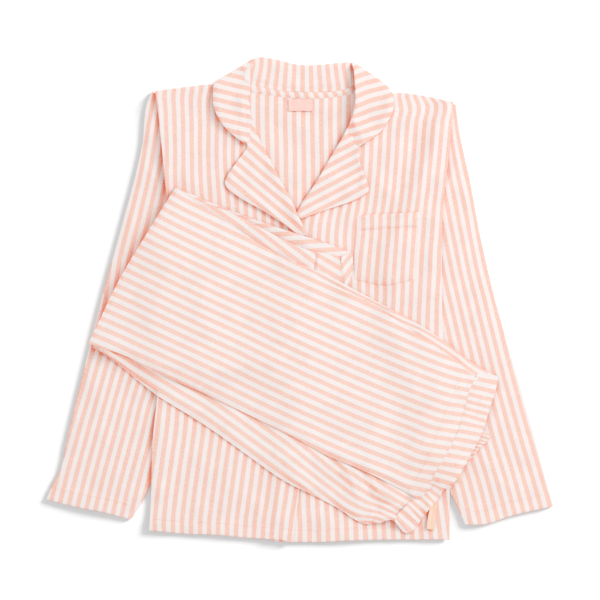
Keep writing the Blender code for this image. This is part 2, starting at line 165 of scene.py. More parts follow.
def shaded(tree, colour, factor):
    """A colour made lighter or darker."""
    sockets = {0: colour, 1: factor}
    return node(tree, "ShaderNodeVectorMath", sockets, operation="MULTIPLY").outputs[0]


def bumped(tree, height, strength, distance):
    """A normal that follows a fine relief."""
    sockets = {"Height": height, "Strength": strength, "Distance": distance}
    return node(tree, "ShaderNodeBump", sockets).outputs[0]


print("helpers:", *[step.__name__ for step in (noise, ranged, combined, blended, shaded, bumped)])

# %% [markdown]
# ## Floor and light
# The set lies on a plain white surface, in white surroundings that give most of the light, so the
# folds stay pale. A big soft lamp low at the upper right gives the last quarter: it rakes across
# the cloth, and each collar edge, fold and hem casts a faint, wide shadow to the lower left. The
# surface has a lower and wider lamp of its own, like a window near the floor, whose long, soft
# shadow shows only along the set's left and lower edges.

# %% Floor
FLOOR_SIZE = 40.0           # m
FLOOR_GAP = 0.2 * MM        # air below the set
PAPER_GREY, PAPER_GLOW = (0.6, 0.6, 0.6, 1.0), 0.13
WHITE = (1.0, 1.0, 1.0, 1.0)
bpy.ops.object.select_all(action="DESELECT")
bpy.ops.mesh.primitive_plane_add(size=FLOOR_SIZE, location=(0.0, 0.0, -FLOOR_GAP))
floor = bpy.context.object
floor.name = "floor"
paper, tree, shader = blank_material("white_paper")
fill(tree, shader, {"Base Color": PAPER_GREY, "Roughness": 0.9, "Specular IOR Level": 0.0,
                    "Emission Color": WHITE, "Emission Strength": PAPER_GLOW})
floor.data.materials.append(paper)
print("floor, m:", floor.dimensions[0])

# %% [markdown]
# ## Lamps
# A lamp is placed by the direction its light comes from, which is how one reads a shadow. Light
# linking then says which lamp reaches the cloth and which the surface, so that each can have the
# width of shadow that it needs.


# %% Lamps and surroundings
def lamp_towards(name, kind, azimuth, height, distance, **settings):
    """A lamp that shines at the middle of the set, from a bearing and a height in degrees."""
    lamp = bpy.data.lights.new(name, kind)
    for setting, value in settings.items():
        setattr(lamp, setting, value)
    made = placed(name, lamp)
    turn, rise = math.radians(azimuth), math.radians(height)
    made.location = (distance * math.cos(rise) * math.cos(turn),
                     distance * math.cos(rise) * math.sin(turn), distance * math.sin(rise))
    made.rotation_euler = Vector(made.location).to_track_quat("Z", "Y").to_euler()
    return made


def only_for(name, members, state):
    """A collection that includes or excludes objects for one lamp."""
    group = bpy.data.collections.new(name)
    for member in members:
        group.objects.link(member)
    for entry in group.collection_objects:
        entry.light_linking.link_state = state
    return group


key = lamp_towards("key_lamp", "AREA", azimuth=38, height=25, distance=4.6, size=1.35, energy=96.0)
key.light_linking.receiver_collection = only_for("all_but_the_floor", [floor], "EXCLUDE")
window = lamp_towards("low_window", "SUN", azimuth=32, height=10.7, distance=6.0, energy=14.2,
                      angle=math.radians(22))
window.light_linking.receiver_collection = only_for("the_floor", [floor], "INCLUDE")

SKY_LIGHT = 0.855           # what the surroundings give; they look pure white to the camera
surroundings = bpy.data.worlds.new("surroundings")
surroundings.use_nodes = True
bpy.context.scene.world = surroundings
tree = surroundings.node_tree
seen = node(tree, "ShaderNodeLightPath").outputs["Is Camera Ray"]
fill(tree, tree.nodes["Background"], {"Color": WHITE,
                                      "Strength": ranged(tree, seen, to_low=SKY_LIGHT)})
for made in (key, window):
    print(made.name, "at", [round(value, 2) for value in made.location])

# %% [markdown]
# ## Brushed cotton
# The cloth is a flannel-like woven cotton, striped in the yarn and then brushed, which raises a
# matt nap. The eye sees stripes with a slightly soft edge, a fine heather of paler fibres, and here
# and there a darker nep, a tiny knot of fibre. The stripes follow the grain, so the material reads
# them from each piece's own map: across it, the map counts stripes, and along it, metres. A real
# thread is 0.5 mm wide, too fine to show here, so the heather is drawn 1 to 3 mm long.


# %% The striped cotton
STRIPE = 12.9               # mm from one peach stripe to the next
SOFT_EDGE = (0.225, 0.275)  # where a stripe's edge starts and ends, in repeats from its middle
FOLD_REACH = 13 * MM        # a wall nearer than this paints shade into the colour of the cloth
FOLD_SHARE = (0.2, 0.62)    # how open the cloth is, from deep in a fold to open cloth, for the painted shade


def striped_cotton(name, peach, white):
    """Brushed cotton, yarn-dyed in stripes that follow each piece's map."""
    cotton, tree, shader = blank_material(name)
    grain = node(tree, "ShaderNodeUVMap", uv_map="grain").outputs[0]
    across, along, _ = node(tree, "ShaderNodeSeparateXYZ", {0: grain}).outputs
    cloth_mm = node(tree, "ShaderNodeCombineXYZ", {
        0: combined(tree, "MULTIPLY", across, STRIPE),
        1: combined(tree, "MULTIPLY", along, 1000.0)}).outputs[0]

    # Stripe edges: a warp thread wanders a little, and the nap blurs the change of yarn.
    wander = ranged(tree, noise(tree, cloth_mm, 0.35, 3.0), to_low=-0.035, to_high=0.035)
    beat = combined(tree, "PINGPONG", combined(tree, "ADD", across, wander), 0.5)
    stripe = ranged(tree, beat, *SOFT_EDGE, interpolation_type="SMOOTHSTEP")

    # Heather: short pale fibres along the grain, more of them in the peach than in the white.
    combed = node(tree, "ShaderNodeMapping", {"Vector": cloth_mm,
                                              "Scale": (1.0, 0.45, 1.0)}).outputs[0]
    pale = ranged(tree, noise(tree, combed, 0.75, 4.0, 0.65), 0.38, 0.68, to_high=0.65)
    yarns = blended(tree, stripe, blended(tree, pale, linear(peach), linear(white)),
                    linear(white))

    # Neps: 1 mm knots of darker fibre, one every few centimetres.
    knots = node(tree, "ShaderNodeTexVoronoi", {"Vector": cloth_mm, "Scale": 0.045})
    knot = ranged(tree, knots.outputs["Distance"], 0.045, 0.015, to_high=0.45)
    knotted = blended(tree, knot, yarns, linear("EE9C78"))

    # Uneven brushing leaves the cloth a touch lighter and darker over a few centimetres.
    tone = ranged(tree, noise(tree, cloth_mm, 0.05, 5.0, 0.6), 0.25, 0.75, 0.965, 1.03)
    brushed = shaded(tree, knotted, tone)

    # Painted shade: light deep in a fold has bounced off more peach cloth on its way, so there the
    # colour is painted deeper. Shade falls on the side away from the key lamp, so the cloth looks
    # for walls towards the lamp.
    lamp_side = Vector(key.location).normalized()
    towards = node(tree, "ShaderNodeCombineXYZ", dict(enumerate(lamp_side))).outputs[0]
    seen = node(tree, "ShaderNodeAmbientOcclusion", {"Distance": FOLD_REACH, "Normal": towards},
                samples=6)
    surface = node(tree, "ShaderNodeNewGeometry").outputs["Normal"]
    slope = node(tree, "ShaderNodeVectorMath", {0: surface, 1: towards},
                 operation="DOT_PRODUCT").outputs["Value"]
    turned_away = ranged(tree, slope, -0.5, 0.1, 0.62, 0.2)
    open_share = combined(tree, "MAXIMUM", seen.outputs["AO"], turned_away)
    painted_shade_gamma = ranged(tree, open_share, *FOLD_SHARE, 4.0, 1.0)
    painted_shade_deepened = node(tree, "ShaderNodeGamma", {0: brushed, 1: painted_shade_gamma}).outputs[0]
    # Painted shade: it is lifted a little again, so that the red stays and the green and blue sink.
    painted_shade_colour = shaded(tree, painted_shade_deepened, ranged(tree, open_share, *FOLD_SHARE, 1.34, 1.0))

    # Painted light and shade: the colour is painted darker on a slope towards the key lamp and
    # lighter on a slope away from it, as a nap that scatters light flattens the lamp's shading.
    painted_windward_shade = ranged(tree, slope, 0.46, 0.8, 1.0, 0.86)
    painted_lee_light = ranged(tree, slope, -0.2, 0.34, 1.22, 1.0)
    shown = shaded(tree, painted_shade_colour, combined(tree, "MULTIPLY", painted_windward_shade, painted_lee_light))

    # The nap stands about 0.3 mm above the weave.
    raised = bumped(tree, noise(tree, combed, 0.9, 6.0, 0.7), 0.25, 0.3 * MM)
    fill(tree, shader, {"Base Color": shown, "Normal": raised, "Roughness": 0.95,
                        "Specular IOR Level": 0.15, "Sheen Weight": 0.15, "Sheen Roughness": 0.6})
    return cotton


shirt_cotton = striped_cotton("brushed_cotton_shirt", "F6C4B2", "F3EAE7")
trouser_cotton = striped_cotton("brushed_cotton_trousers", "F7C9B8", "F3EBE8")
print("materials:", shirt_cotton.name, trouser_cotton.name)

# %% [markdown]
# ## Label, tape and thread
# The label is a smooth polyester satin, plain pink, with fine ribs from its weave. The drawstring
# is a flat cotton herringbone tape, a little deeper in colour than the stripes. The sewing thread
# is spun polyester in pale peach.


# %% Satin, tape and thread
def woven(name, light, dark, ribs, turned, roughness):
    """A plain woven band: fine ribs of two close colours, raised a little."""
    band, tree, shader = blank_material(name)
    place = node(tree, "ShaderNodeTexCoord").outputs["Object"]
    turn = node(tree, "ShaderNodeMapping", {"Vector": place,
                                            "Rotation": (0.0, 0.0, math.radians(turned))})
    weave = node(tree, "ShaderNodeTexWave", {"Vector": turn.outputs[0], "Scale": ribs,
                                             "Distortion": 0.6, "Detail": 2.0}).outputs["Fac"]
    fill(tree, shader, {"Base Color": blended(tree, weave, linear(dark), linear(light)),
                        "Normal": bumped(tree, weave, 0.3, 0.1 * MM), "Roughness": roughness,
                        "Specular IOR Level": 0.3})
    return band


label_satin = woven("polyester_satin", "FDD9D0", "FACFC6", 260.0, 90.0, 0.55)
tape_cotton = woven("herringbone_tape", "F9DAC6", "F3CDB4", 150.0, 20.0, 0.9)
thread_spun = woven("spun_thread", "FFF1EA", "F7DCD0", 500.0, 45.0, 0.8)
print("materials:", label_satin.name, tape_cotton.name, thread_spun.name)

# %% [markdown]
# ## Lofting a flat pattern piece
# A pattern cutter draws a piece with a few measured lines across it. Here each line is a row of
# points in millimetres, a smooth curve runs through them, and more curves join line to line. The
# grid is closer at the rim, where the cloth rounds over. A pattern is written as a cutter notes it:
# the name of each line, and then its points.


# %% Curves, and a grid through sections
def through(knots, values, at):
    """Smooth curve through values, one at each knot, read at the places given."""
    slopes = np.gradient(values, knots, axis=0)
    start = np.clip(np.searchsorted(knots, at, side="right") - 1, 0, len(knots) - 2)
    span = knots[start + 1] - knots[start]
    t = np.clip((at - knots[start]) / span, 0, 1)
    shape = t.shape + (1,) * (values.ndim - 1)
    t = t.reshape(shape)
    span = span.reshape(shape)
    return (values[start] * (2 * t**3 - 3 * t**2 + 1)
            + values[start + 1] * (3 * t**2 - 2 * t**3)
            + slopes[start] * span * (t**3 - 2 * t**2 + t)
            + slopes[start + 1] * span * (t**3 - t**2))


def distances(points, axis=0):
    """Length along a run of points, or along the rows or columns of a grid, at each point."""
    steps = np.linalg.norm(np.diff(points, axis=axis), axis=-1)
    return np.insert(np.cumsum(steps, axis=axis), 0, 0.0, axis=axis)


def numbers(text):
    """Groups of numbers, parted by commas."""
    return [tuple(float(number) for number in group.split()) for group in text.split(",")]


def drawn(text):
    """Rows of a pattern: each has a name and then groups of numbers, mostly points in mm.

    A row that ends in a comma goes on in the next line.
    """
    rows = [row.partition(":") for row in text.replace(",\n", ",").strip().splitlines()]
    return [(name.strip(), *numbers(groups)) for name, _, groups in rows]


def spread(length, step):
    """Places from 0 to 1 along a length: even inside, closer at both rims."""
    rim = np.array((0.0, 0.35, 0.9)) * MM
    count = max(2, round((length - 2 * rim[-1]) / step) + 1)
    inside = np.linspace(rim[-1], length - rim[-1], count)
    return np.concatenate((rim[:-1], inside, length - rim[:-1][::-1])) / length


def loft(sections, step, columns=None):
    """Plan of a piece through its sections: rows along it, columns across it."""
    lines = [np.array(points, float) * MM for _, *points in sections]
    widths = [distances(line)[-1] for line in lines]
    across = spread(max(widths), step) if columns is None else columns
    curves = np.array([through(distances(line), line, across * width)
                       for line, width in zip(lines, widths)])
    knots = distances(curves.mean(axis=1))
    return through(knots, curves, spread(knots[-1], step) * knots[-1])


print("places on 10 mm:", [round(place, 3) for place in spread(10 * MM, 3 * MM)])

# %% [markdown]
# ## Stripes that follow the cloth
# Straight stripes would look printed on. On laid cloth they drift and lean a little, so each piece
# has a heading along its grain, in degrees, and a short table: how far along the piece, where one
# peach stripe lies and the distance to the next, all in millimetres, and how much the stripes bend.
# Between the rows the count changes smoothly. A casing has a list of where each stripe meets its
# seam and its edge instead.


# %% Counting stripes
def stripe_count(plan, heading, table, middle=0.0):
    """Number of the stripe at each point of a plan, and its place along the grain in metres."""
    turn = math.radians(heading)
    along = plan[..., 0] * math.cos(turn) + plan[..., 1] * math.sin(turn)
    beside = plan[..., 0] * math.sin(turn) - plan[..., 1] * math.cos(turn)
    rows = np.array([(*row, 0.0)[:4] for row in numbers(table)], float)
    rows[:, 0] *= MM
    first = through(rows[:, 0], -rows[:, 1] / rows[:, 2], along)
    each = through(rows[:, 0], 1 / (rows[:, 2] * MM), along)
    bend = through(rows[:, 0], rows[:, 3], along) * ((beside - middle * MM) / (100 * MM)) ** 2
    return np.stack((first + each * beside + bend, along), axis=-1)


def across_a_band(seam, edge):
    """Stripe counter for a casing: where each peach stripe meets its seam and its edge, in mm."""
    def count(plan):
        ways = []
        for side, places in ((plan[0], seam), (plan[-1], edge)):
            beyond = np.arange(1, 4)        # three more stripes past each end of the list
            places = np.concatenate((places[0] - (places[1] - places[0]) * beyond[::-1], places,
                                     places[-1] + (places[-1] - places[-2]) * beyond)) * MM
            ways.append(through(places, np.arange(len(places), dtype=float), distances(side)))
        down = np.linspace(0, 1, plan.shape[0])[:, None]
        along = down * np.linalg.norm(plan[-1] - plan[0], axis=-1)
        return np.stack((ways[0] * (1 - down) + ways[1] * down, along), axis=-1)
    return count


print("stripes in a 100 mm width:", round(100 / STRIPE, 1))

# %% [markdown]
# ## The pile on the table
# Cloth takes its height from what is under it. A map of the table, one height for each square
# millimetre, holds the top of everything laid so far. A new piece feels the highest spot under each
# of its points, bridges the dips softly, and then becomes the new top.

# %% A map of heights
CELL = 1.0 * MM
CORNER = np.array((-380.0, -365.0)) * MM
AIR = 0.12 * MM             # nap between two layers
pile_top = np.zeros((760, 730))             # it covers 760 by 730 mm


def cells(points):
    """The map's cell under each point."""
    spots = np.rint((points[..., :2] - CORNER) / CELL).astype(int)
    return (np.clip(spots[..., 0], 0, pile_top.shape[0] - 1),
            np.clip(spots[..., 1], 0, pile_top.shape[1] - 1))


def felt(plan, reach):
    """Highest spot of the pile within reach of each point."""
    highest = pile_top
    for axis in (0, 1):
        reached = highest.copy()
        for shift in range(1, round(reach / CELL) + 1):
            reached = np.maximum(reached, np.roll(highest, shift, axis))
            reached = np.maximum(reached, np.roll(highest, -shift, axis))
        highest = reached
    return highest[cells(plan)]


def eased(heights, passes):
    """Heights smoothed without ever dropping below the ones given."""
    smooth = heights
    for _ in range(passes):
        edged = np.pad(smooth, 1, mode="edge")
        mean = (edged[:-2, 1:-1] + edged[2:, 1:-1] + edged[1:-1, :-2] + edged[1:-1, 2:]) / 4
        smooth = np.maximum(heights, mean)
    return smooth


def refined(points, steps):
    """The grid with each cell cut into steps by steps."""
    for axis in (0, 1):
        points = np.moveaxis(points, axis, 0)
        at = np.linspace(0, len(points) - 1, (len(points) - 1) * steps + 1)
        start = np.minimum(at.astype(int), len(points) - 2)
        share = (at - start)[:, None, None]
        points = points[start] * (1 - share) + points[start + 1] * share
        points = np.moveaxis(points, 0, axis)
    return points


def press(points, steps=5):
    """Lay an upper face on the map."""
    fine = refined(points, steps)
    np.maximum.at(pile_top, cells(fine), fine[..., 2])


print("map of", pile_top.shape, "cells")

# %% [markdown]
# ## Creases, hems and rumples
# A crease is a line of points with a half width and a height in millimetres: above zero it is a
# soft ridge, below zero a trough, and it fades towards its ends. A hem is a band along one edge,
# a layer thicker than the rest. Rumples are a few long waves added up, which keep any large
# piece from looking ironed.


# %% Shaping the surface
CREASE_FADE = 0.6           # below 1, a crease keeps its height nearly to its ends
WAVES = 9                   # in a rumple


def from_line(plan, line):
    """Distance of each point of a plan from a line of points, and its share of the way along."""
    line = np.array(line, float)
    lengths = distances(line)
    nearest = np.full(plan.shape[:2], np.inf)
    share = np.zeros(plan.shape[:2])
    for index, (start, end) in enumerate(zip(line[:-1], line[1:])):
        run = end - start
        size = max(run @ run, 1e-12)
        place = np.clip(((plan - start) @ run) / size, 0, 1)
        away = np.linalg.norm(plan - start - place[..., None] * run, axis=-1)
        closer = away < nearest
        nearest = np.where(closer, away, nearest)
        share = np.where(closer, (lengths[index] + place * math.sqrt(size)) / lengths[-1], share)
    return nearest, share


def smooth_step(value):
    """0 below 0, 1 above 1, and a soft rise between."""
    value = np.clip(value, 0, 1)
    return value * value * (3 - 2 * value)


def creased(plan, creases):
    """Height of a table of creases: name, half width, height, then the points of its line."""
    relief = np.zeros(plan.shape[:2])
    for _, (width, height), *line in drawn(creases):
        away, share = from_line(plan, np.array(line, float) * MM)
        fade = np.sin(np.pi * np.clip(share, 0.001, 0.999)) ** CREASE_FADE
        relief += height * MM * fade * np.exp(-(away / (width * MM)) ** 2)
    return relief


def rumpled(plan, seed, size, height):
    """A few long waves in different directions, the same each time for one seed."""
    dice = np.random.default_rng(seed)
    relief = np.zeros(plan.shape[:2])
    for _ in range(WAVES):
        turn, phase = dice.uniform(0, 2 * math.pi, 2)
        length = size * MM * dice.uniform(0.7, 1.6)
        way = plan[..., 0] * math.cos(turn) + plan[..., 1] * math.sin(turn)
        relief += np.sin(2 * math.pi * way / length + phase)
    return relief * height * MM / math.sqrt(WAVES)


def edge_of(points, side):
    """One of the four edges of a grid."""
    return {"start": points[0], "end": points[-1],
            "left": points[:, 0], "right": points[:, -1]}[side]


print("a 4 mm wide crease, 2 mm off its line:", round(math.exp(-0.25), 2))

# %% [markdown]
# ## Two faces and a rim
# A sheet needs thickness, so its middle surface is pushed out to both sides along its normals,
# thinning to a rounded rim, and a strip closes the rim. A leg is two layers of cloth pressed
# together, so its rim has a groove between them. A sleeve is a tube, whose grid joins itself.


# %% Making the shell
RIM = 0.9 * MM              # width over which a sheet thins towards its rim
RIM_THIN = 0.3              # what is left of it there
GROOVE = 0.8 * MM           # depth of the groove between the two layers of a leg


def mesh_object(name, vertices, faces, material):
    """A smooth mesh in the scene."""
    mesh = bpy.data.meshes.new(name)
    mesh.from_pydata(vertices.tolist(), [], faces)
    mesh.polygons.foreach_set("use_smooth", np.ones(len(mesh.polygons), bool))
    mesh.materials.append(material)
    return placed(name, mesh)


def rim_distance(points, closed):
    """How far each point of a grid lies from its open edges."""
    down = distances(points)
    away = np.minimum(down, down[-1] - down)
    if not closed:
        over = distances(points, 1)
        away = np.minimum(away, np.minimum(over, over[:, -1:] - over))
    return away


def normals(points, closed):
    """Unit normal at each point of a grid."""
    across = np.gradient(points, axis=1)
    if closed:
        across[:, 0] = across[:, -1] = (points[:, 1] - points[:, -2]) / 2
    normal = np.cross(across, np.gradient(points, axis=0))
    return normal / np.maximum(np.linalg.norm(normal, axis=-1, keepdims=True), 1e-12)


def rim_edges(rows, columns, closed):
    """Pairs of neighbouring grid places along the open edges, in the order the rim needs."""
    edges = [((0, c), (0, c + 1)) for c in range(columns - 1)]
    edges += [((rows - 1, c + 1), (rows - 1, c)) for c in range(columns - 1)]
    if not closed:
        edges += [((r + 1, 0), (r, 0)) for r in range(rows - 1)]
        edges += [((r, columns - 1), (r + 1, columns - 1)) for r in range(rows - 1)]
    return np.array(edges)


def shell(name, middle, thick, grain, material, closed=False, layered=False, up=None):
    """A sheet with two faces and a rounded rim; returns its object and its outer face."""
    rows, columns = middle.shape[:2]
    wide = columns - 1 if closed else columns
    normal = normals(middle, closed)
    turned = 1 if normal[up or (rows // 2, columns // 2)][2] > 0 else -1
    rim = np.clip(rim_distance(middle, closed) / RIM, 0, 1)
    half = thick / 2 * np.maximum(RIM_THIN, np.sqrt(1 - (1 - rim) ** 2))
    push = normal * turned * half[..., None]
    layers = [middle + push, middle - push]

    def corner(place, layer):
        return (layer * rows + place[..., 0]) * wide + place[..., 1] % wide

    row, column = np.mgrid[0:rows - 1, 0:columns - 1].reshape(2, -1)
    ring = np.stack([np.stack((row + r, column + c), -1)
                     for r, c in ((0, 0), (0, 1), (1, 1), (1, 0))], axis=1)
    faces = [corner(ring, 0), corner(ring[:, ::-1], 1)]
    places = [ring, ring[:, ::-1]]
    bands = ((0, 1),)
    if layered:
        inward = middle[np.clip(np.arange(rows), 1, rows - 2)]
        inward = inward[:, np.clip(np.arange(columns), 1, columns - 2)] - middle
        inward /= np.maximum(np.linalg.norm(inward, axis=-1, keepdims=True), 1e-9)
        layers.append(middle + inward * GROOVE)
        bands = ((0, 2), (2, 1))
    near, far = rim_edges(rows, columns, closed).transpose(1, 0, 2)
    for upper, lower in bands:
        faces.append(np.stack((corner(far, upper), corner(near, upper),
                               corner(near, lower), corner(far, lower)), axis=1))
        places.append(np.stack((far, near, near, far), axis=1))
    faces, places = np.concatenate(faces), np.concatenate(places)
    if turned < 0:
        faces, places = faces[:, ::-1], places[:, ::-1]
    vertices = np.concatenate([layer[:, :wide].reshape(-1, 3) for layer in layers])
    used, faces = np.unique(faces, return_inverse=True)

    piece = mesh_object(name, vertices[used], faces.reshape(-1, 4).tolist(), material)
    chart = piece.data.uv_layers.new(name="grain")
    chart.data.foreach_set("uv", grain[places[..., 0], places[..., 1]].reshape(-1))
    piece.data.update()
    return piece, layers[0]


print("rim of a 3 by 3 grid:", len(rim_edges(3, 3, False)), "edges")

# %% [markdown]
# ## Laying a piece
# One function does for every flat piece what a hand does: it lofts the plan, feels the pile, adds
# creases and a hem, and makes the shell. Then it hangs the piece on the model's root, hides the
# solids that it stands for and prints the size it was cut to.

# %% Laying and declaring
CLOTH = 1.1 * MM            # brushed cotton with its nap
HEM = 0.6 * MM              # what a turned hem adds
SEAM_THIN = 0.16 * MM       # a sheet at its sewn edge
SEAM_GAP = -0.06 * MM       # its rim sinks into the nap
HEM_SOFT, STITCH_SOFT = 1.5 * MM, 1.3 * MM  # how softly a hem starts and its stitches sink
STITCH_DEPTH = 0.35 * MM
SEAM_POINTS = 7             # a level seam's height is the mean of this many points
REACH = 0.7                 # a point feels the pile this far around it, in steps of its grid


def declare(piece, plan, nodes, around=1):
    """Hang the piece on the root, hide the solids it stands for, print its cut from its plan."""
    width = np.linalg.norm(np.diff(plan, axis=1), axis=-1).sum(axis=1).max() * around
    length = np.linalg.norm(np.diff(plan, axis=0), axis=-1).sum(axis=0).max()
    cross = np.cross(plan[1:, 1:] - plan[:-1, :-1], plan[1:, :-1] - plan[:-1, 1:])
    area = np.abs(cross).sum() / 2 * around
    area = min(area, 0.999 * width * length)    # a cut fits in its rectangle
    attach(piece, "root")
    if nodes:
        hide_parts(*nodes)
    print(piece.name, "cut, m:", round(width, 3), round(length, 3), "faces:",
          len(piece.data.polygons))


def settled(plan, step, passes, relief, slack):
    """Height of a sheet's underside: on the pile, bridging its dips, with its creases."""
    base = eased(felt(plan, step * REACH), passes) + AIR
    return base + np.maximum(relief + slack * MM, 0)


def hem_band(middle, line, width):
    """What a hem adds beside a line, and the groove that its stitches press in."""
    away, _ = from_line(middle[..., :2], line)
    band = smooth_step((width * MM - away) / HEM_SOFT + 0.5) * HEM
    return band, np.exp(-((away - width * MM) / STITCH_SOFT) ** 2) * STITCH_DEPTH


def hemmed(middle, thick, hems):
    """Thicken a band along each hemmed edge and press in its line of stitches."""
    for side, width in hems:
        band, groove = hem_band(middle, edge_of(middle, side)[::2, :2], width)
        thick = thick + band - groove
        middle[..., 2] += (band - groove) / 2
    return thick


def sewn_down(middle, walls, sides, taper=3.0, level=0.0):
    """Thin a sheet towards its sewn edges, so that it joins the cloth below without a step.

    Each side may have the share of it that is sewn, a taper of its own in mm, and how much of the
    thickness is left at the edge. A level sheet goes on at the height of its first section for
    some millimetres, over whatever ends below it, but comes down to its other sewn sides.
    """
    share = np.ones(walls.shape)
    lowered = np.zeros(walls.shape)
    for side, *span in sides:
        line = edge_of(middle, side)[:, :2]
        first, last = [round(part * (len(line) - 1)) for part in (span[:2] or (0, 1))]
        away, _ = from_line(middle[..., :2], line[first:last + 1])
        near = smooth_step(away / ((span[2] if span[2:] else taper) * MM))
        near = np.maximum(near, span[3] if span[3:] else 0)
        share *= near
        if side != "start":
            lowered = np.maximum(lowered, 1 - near)
    below = felt(middle[..., :2], 0.0) + SEAM_GAP
    if level:
        seam = felt(middle[:1, :, :2], 1 * MM) + SEAM_GAP
        seam = np.convolve(np.pad(seam[0], SEAM_POINTS // 2, mode="edge"),
                           np.full(SEAM_POINTS, 1 / SEAM_POINTS), "valid")
        away, _ = from_line(middle[..., :2], middle[0, :, :2])
        leaving = np.maximum(smooth_step(away / (level * MM) - 1), lowered)
        below = seam[None] * (1 - leaving) + below * leaving
    loose = middle[..., 2] + walls / 2 - below - SEAM_THIN
    walls = SEAM_THIN + (walls - SEAM_THIN) * share
    middle[..., 2] = below + SEAM_THIN + loose * share - walls / 2
    return walls


# %% [markdown]
# ## Rows of stitches
# A row of stitches holds a hem or a patch. Each one is a grain of spun thread, pulled into the
# cloth so that only its back shows, and it has ten corners, because there are hundreds of them.

# %% Stitches
STITCH, STITCH_PITCH, THREAD = 2.4 * MM, 3.3 * MM, 0.62 * MM
RING = np.array([(0, 1, 1), (1, 0, 1), (0, -1, 1), (-1, 0, 1)]) * 0.5


def inset(line, distance, trim=3.0):
    """A line moved sideways to its left, in mm, and shortened at both ends."""
    line = np.array(line, float)
    ends = distances(line)
    at = np.linspace(trim, ends[-1] - trim, max(6, len(line) * 3))
    points = through(ends, line, at)
    run = np.gradient(points, axis=0)
    run /= np.linalg.norm(run, axis=1, keepdims=True)
    return points + np.stack((-run[:, 1], run[:, 0]), axis=1) * distance


def sew(name, rows):
    """One object with the stitches of all the rows, each on the cloth below it."""
    centres, runs = [], []
    for row in rows:
        line = np.array(row, float) * MM
        ends = distances(line)
        at = np.arange(STITCH_PITCH, ends[-1] - STITCH_PITCH / 2, STITCH_PITCH)
        ahead, behind = through(ends, line, at + STITCH / 2), through(ends, line, at - STITCH / 2)
        centres.append((ahead + behind) / 2)
        runs.append((ahead - behind) / np.linalg.norm(ahead - behind, axis=1, keepdims=True))
    centres, runs = np.concatenate(centres), np.concatenate(runs)
    across = np.stack((-runs[:, 1], runs[:, 0], 0 * runs[:, 0]), axis=1)[:, None]
    along = np.pad(runs, ((0, 0), (0, 1)))[:, None]
    centre = np.column_stack((centres, felt(centres[None], 0.0)[0] + 0.1 * THREAD))[:, None]
    ring = across * RING[None, :, :1] * THREAD + np.array((0, 0, 1)) * RING[None, :, 1:2] * THREAD
    half, quarter = along * STITCH / 2, along * STITCH / 4
    points = np.concatenate((centre - half, centre - quarter + ring, centre + quarter + ring,
                             centre + half), axis=1)
    faces = []
    for k in range(4):
        after = (k + 1) % 4
        faces += [(0, 1 + after, 1 + k), (1 + k, 1 + after, 5 + after, 5 + k),
                  (9, 5 + k, 5 + after)]
    stitches = mesh_object(name, points.reshape(-1, 3),
                           [[10 * index + corner for corner in face]
                            for index in range(len(points)) for face in faces], thread_spun)
    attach(stitches, "root")
    print(name, "stitches:", len(points))
    return stitches


print("stitches in 100 mm:", round(0.1 / STITCH_PITCH))

# %% [markdown]
# ## Laying one sheet
# All the steps for one flat piece, in the order a hand would do them.


# %% Laying
def lay(name, sections, stripes, step=3.0, thick=CLOTH, passes=10, creases="", rumple=(60, 0.3),
        seed=1, hems=(), sewn=(), taper=3.0, level=0.0, material=None, nodes=None,
        shape=None, seams=()):
    """Loft a sheet, settle it on the pile, shape it, make its object and press it on the map."""
    plan = loft(sections, step * MM)
    relief = creased(plan, creases) + rumpled(plan, seed, *rumple)
    low = settled(plan, step * MM, passes, relief, rumple[1])
    middle = np.dstack((plan, low + thick / 2))
    if shape:
        shape(middle)
    walls = hemmed(middle, np.full(plan.shape[:2], thick), hems)
    if sewn:
        walls = sewn_down(middle, walls, sewn, taper, level)
    grain = stripes(plan) if callable(stripes) else stripe_count(plan, *stripes)
    label = name + "_cloth" if nodes is None else name
    piece, upper = shell(label, middle, walls, grain, material or shirt_cotton)
    press(upper)
    threads = [sew(label + "_stitches", seams)] if seams else []
    declare(piece, plan, [name] if nodes is None else nodes)


print("one layer:", round(CLOTH / MM, 2), "mm")

# %% [markdown]
# ## The back of the collar
# The lowest piece is the part of the collar that has turned over behind the neck: it lies on the
# table, under the shirt, and only its rolled upper edge shows.

# %% Collar behind the neck
COLLAR_BEHIND = drawn("""
    right shoulder: -104 293, -107 326
    right neck: -87 289, -87 338
    right roll: -70 286, -68 350
    right of centre: -36 283, -36 349
    centre back: 0 281, 0 341
    left of centre: 36 281, 36 342
    left roll: 58 283, 58 344
    left neck: 77 284, 77 344
    left shoulder: 99 287, 102 329
    left end: 119 291, 120 316
""")
lay("collar_behind", COLLAR_BEHIND, (89, "281 -1.8 13.1, 350 -2.1 12.4"), step=4,
    rumple=(60, 0.1), nodes=["collar"])

# %% [markdown]
# ## Sleeves
# Each sleeve is one piece of cloth sewn into a tube and pressed flat by its own weight, fold
# outside and seam at the body. Its grid goes once round the tube. The upper layer takes
# the creases, and it arches a little, because nothing presses it down.

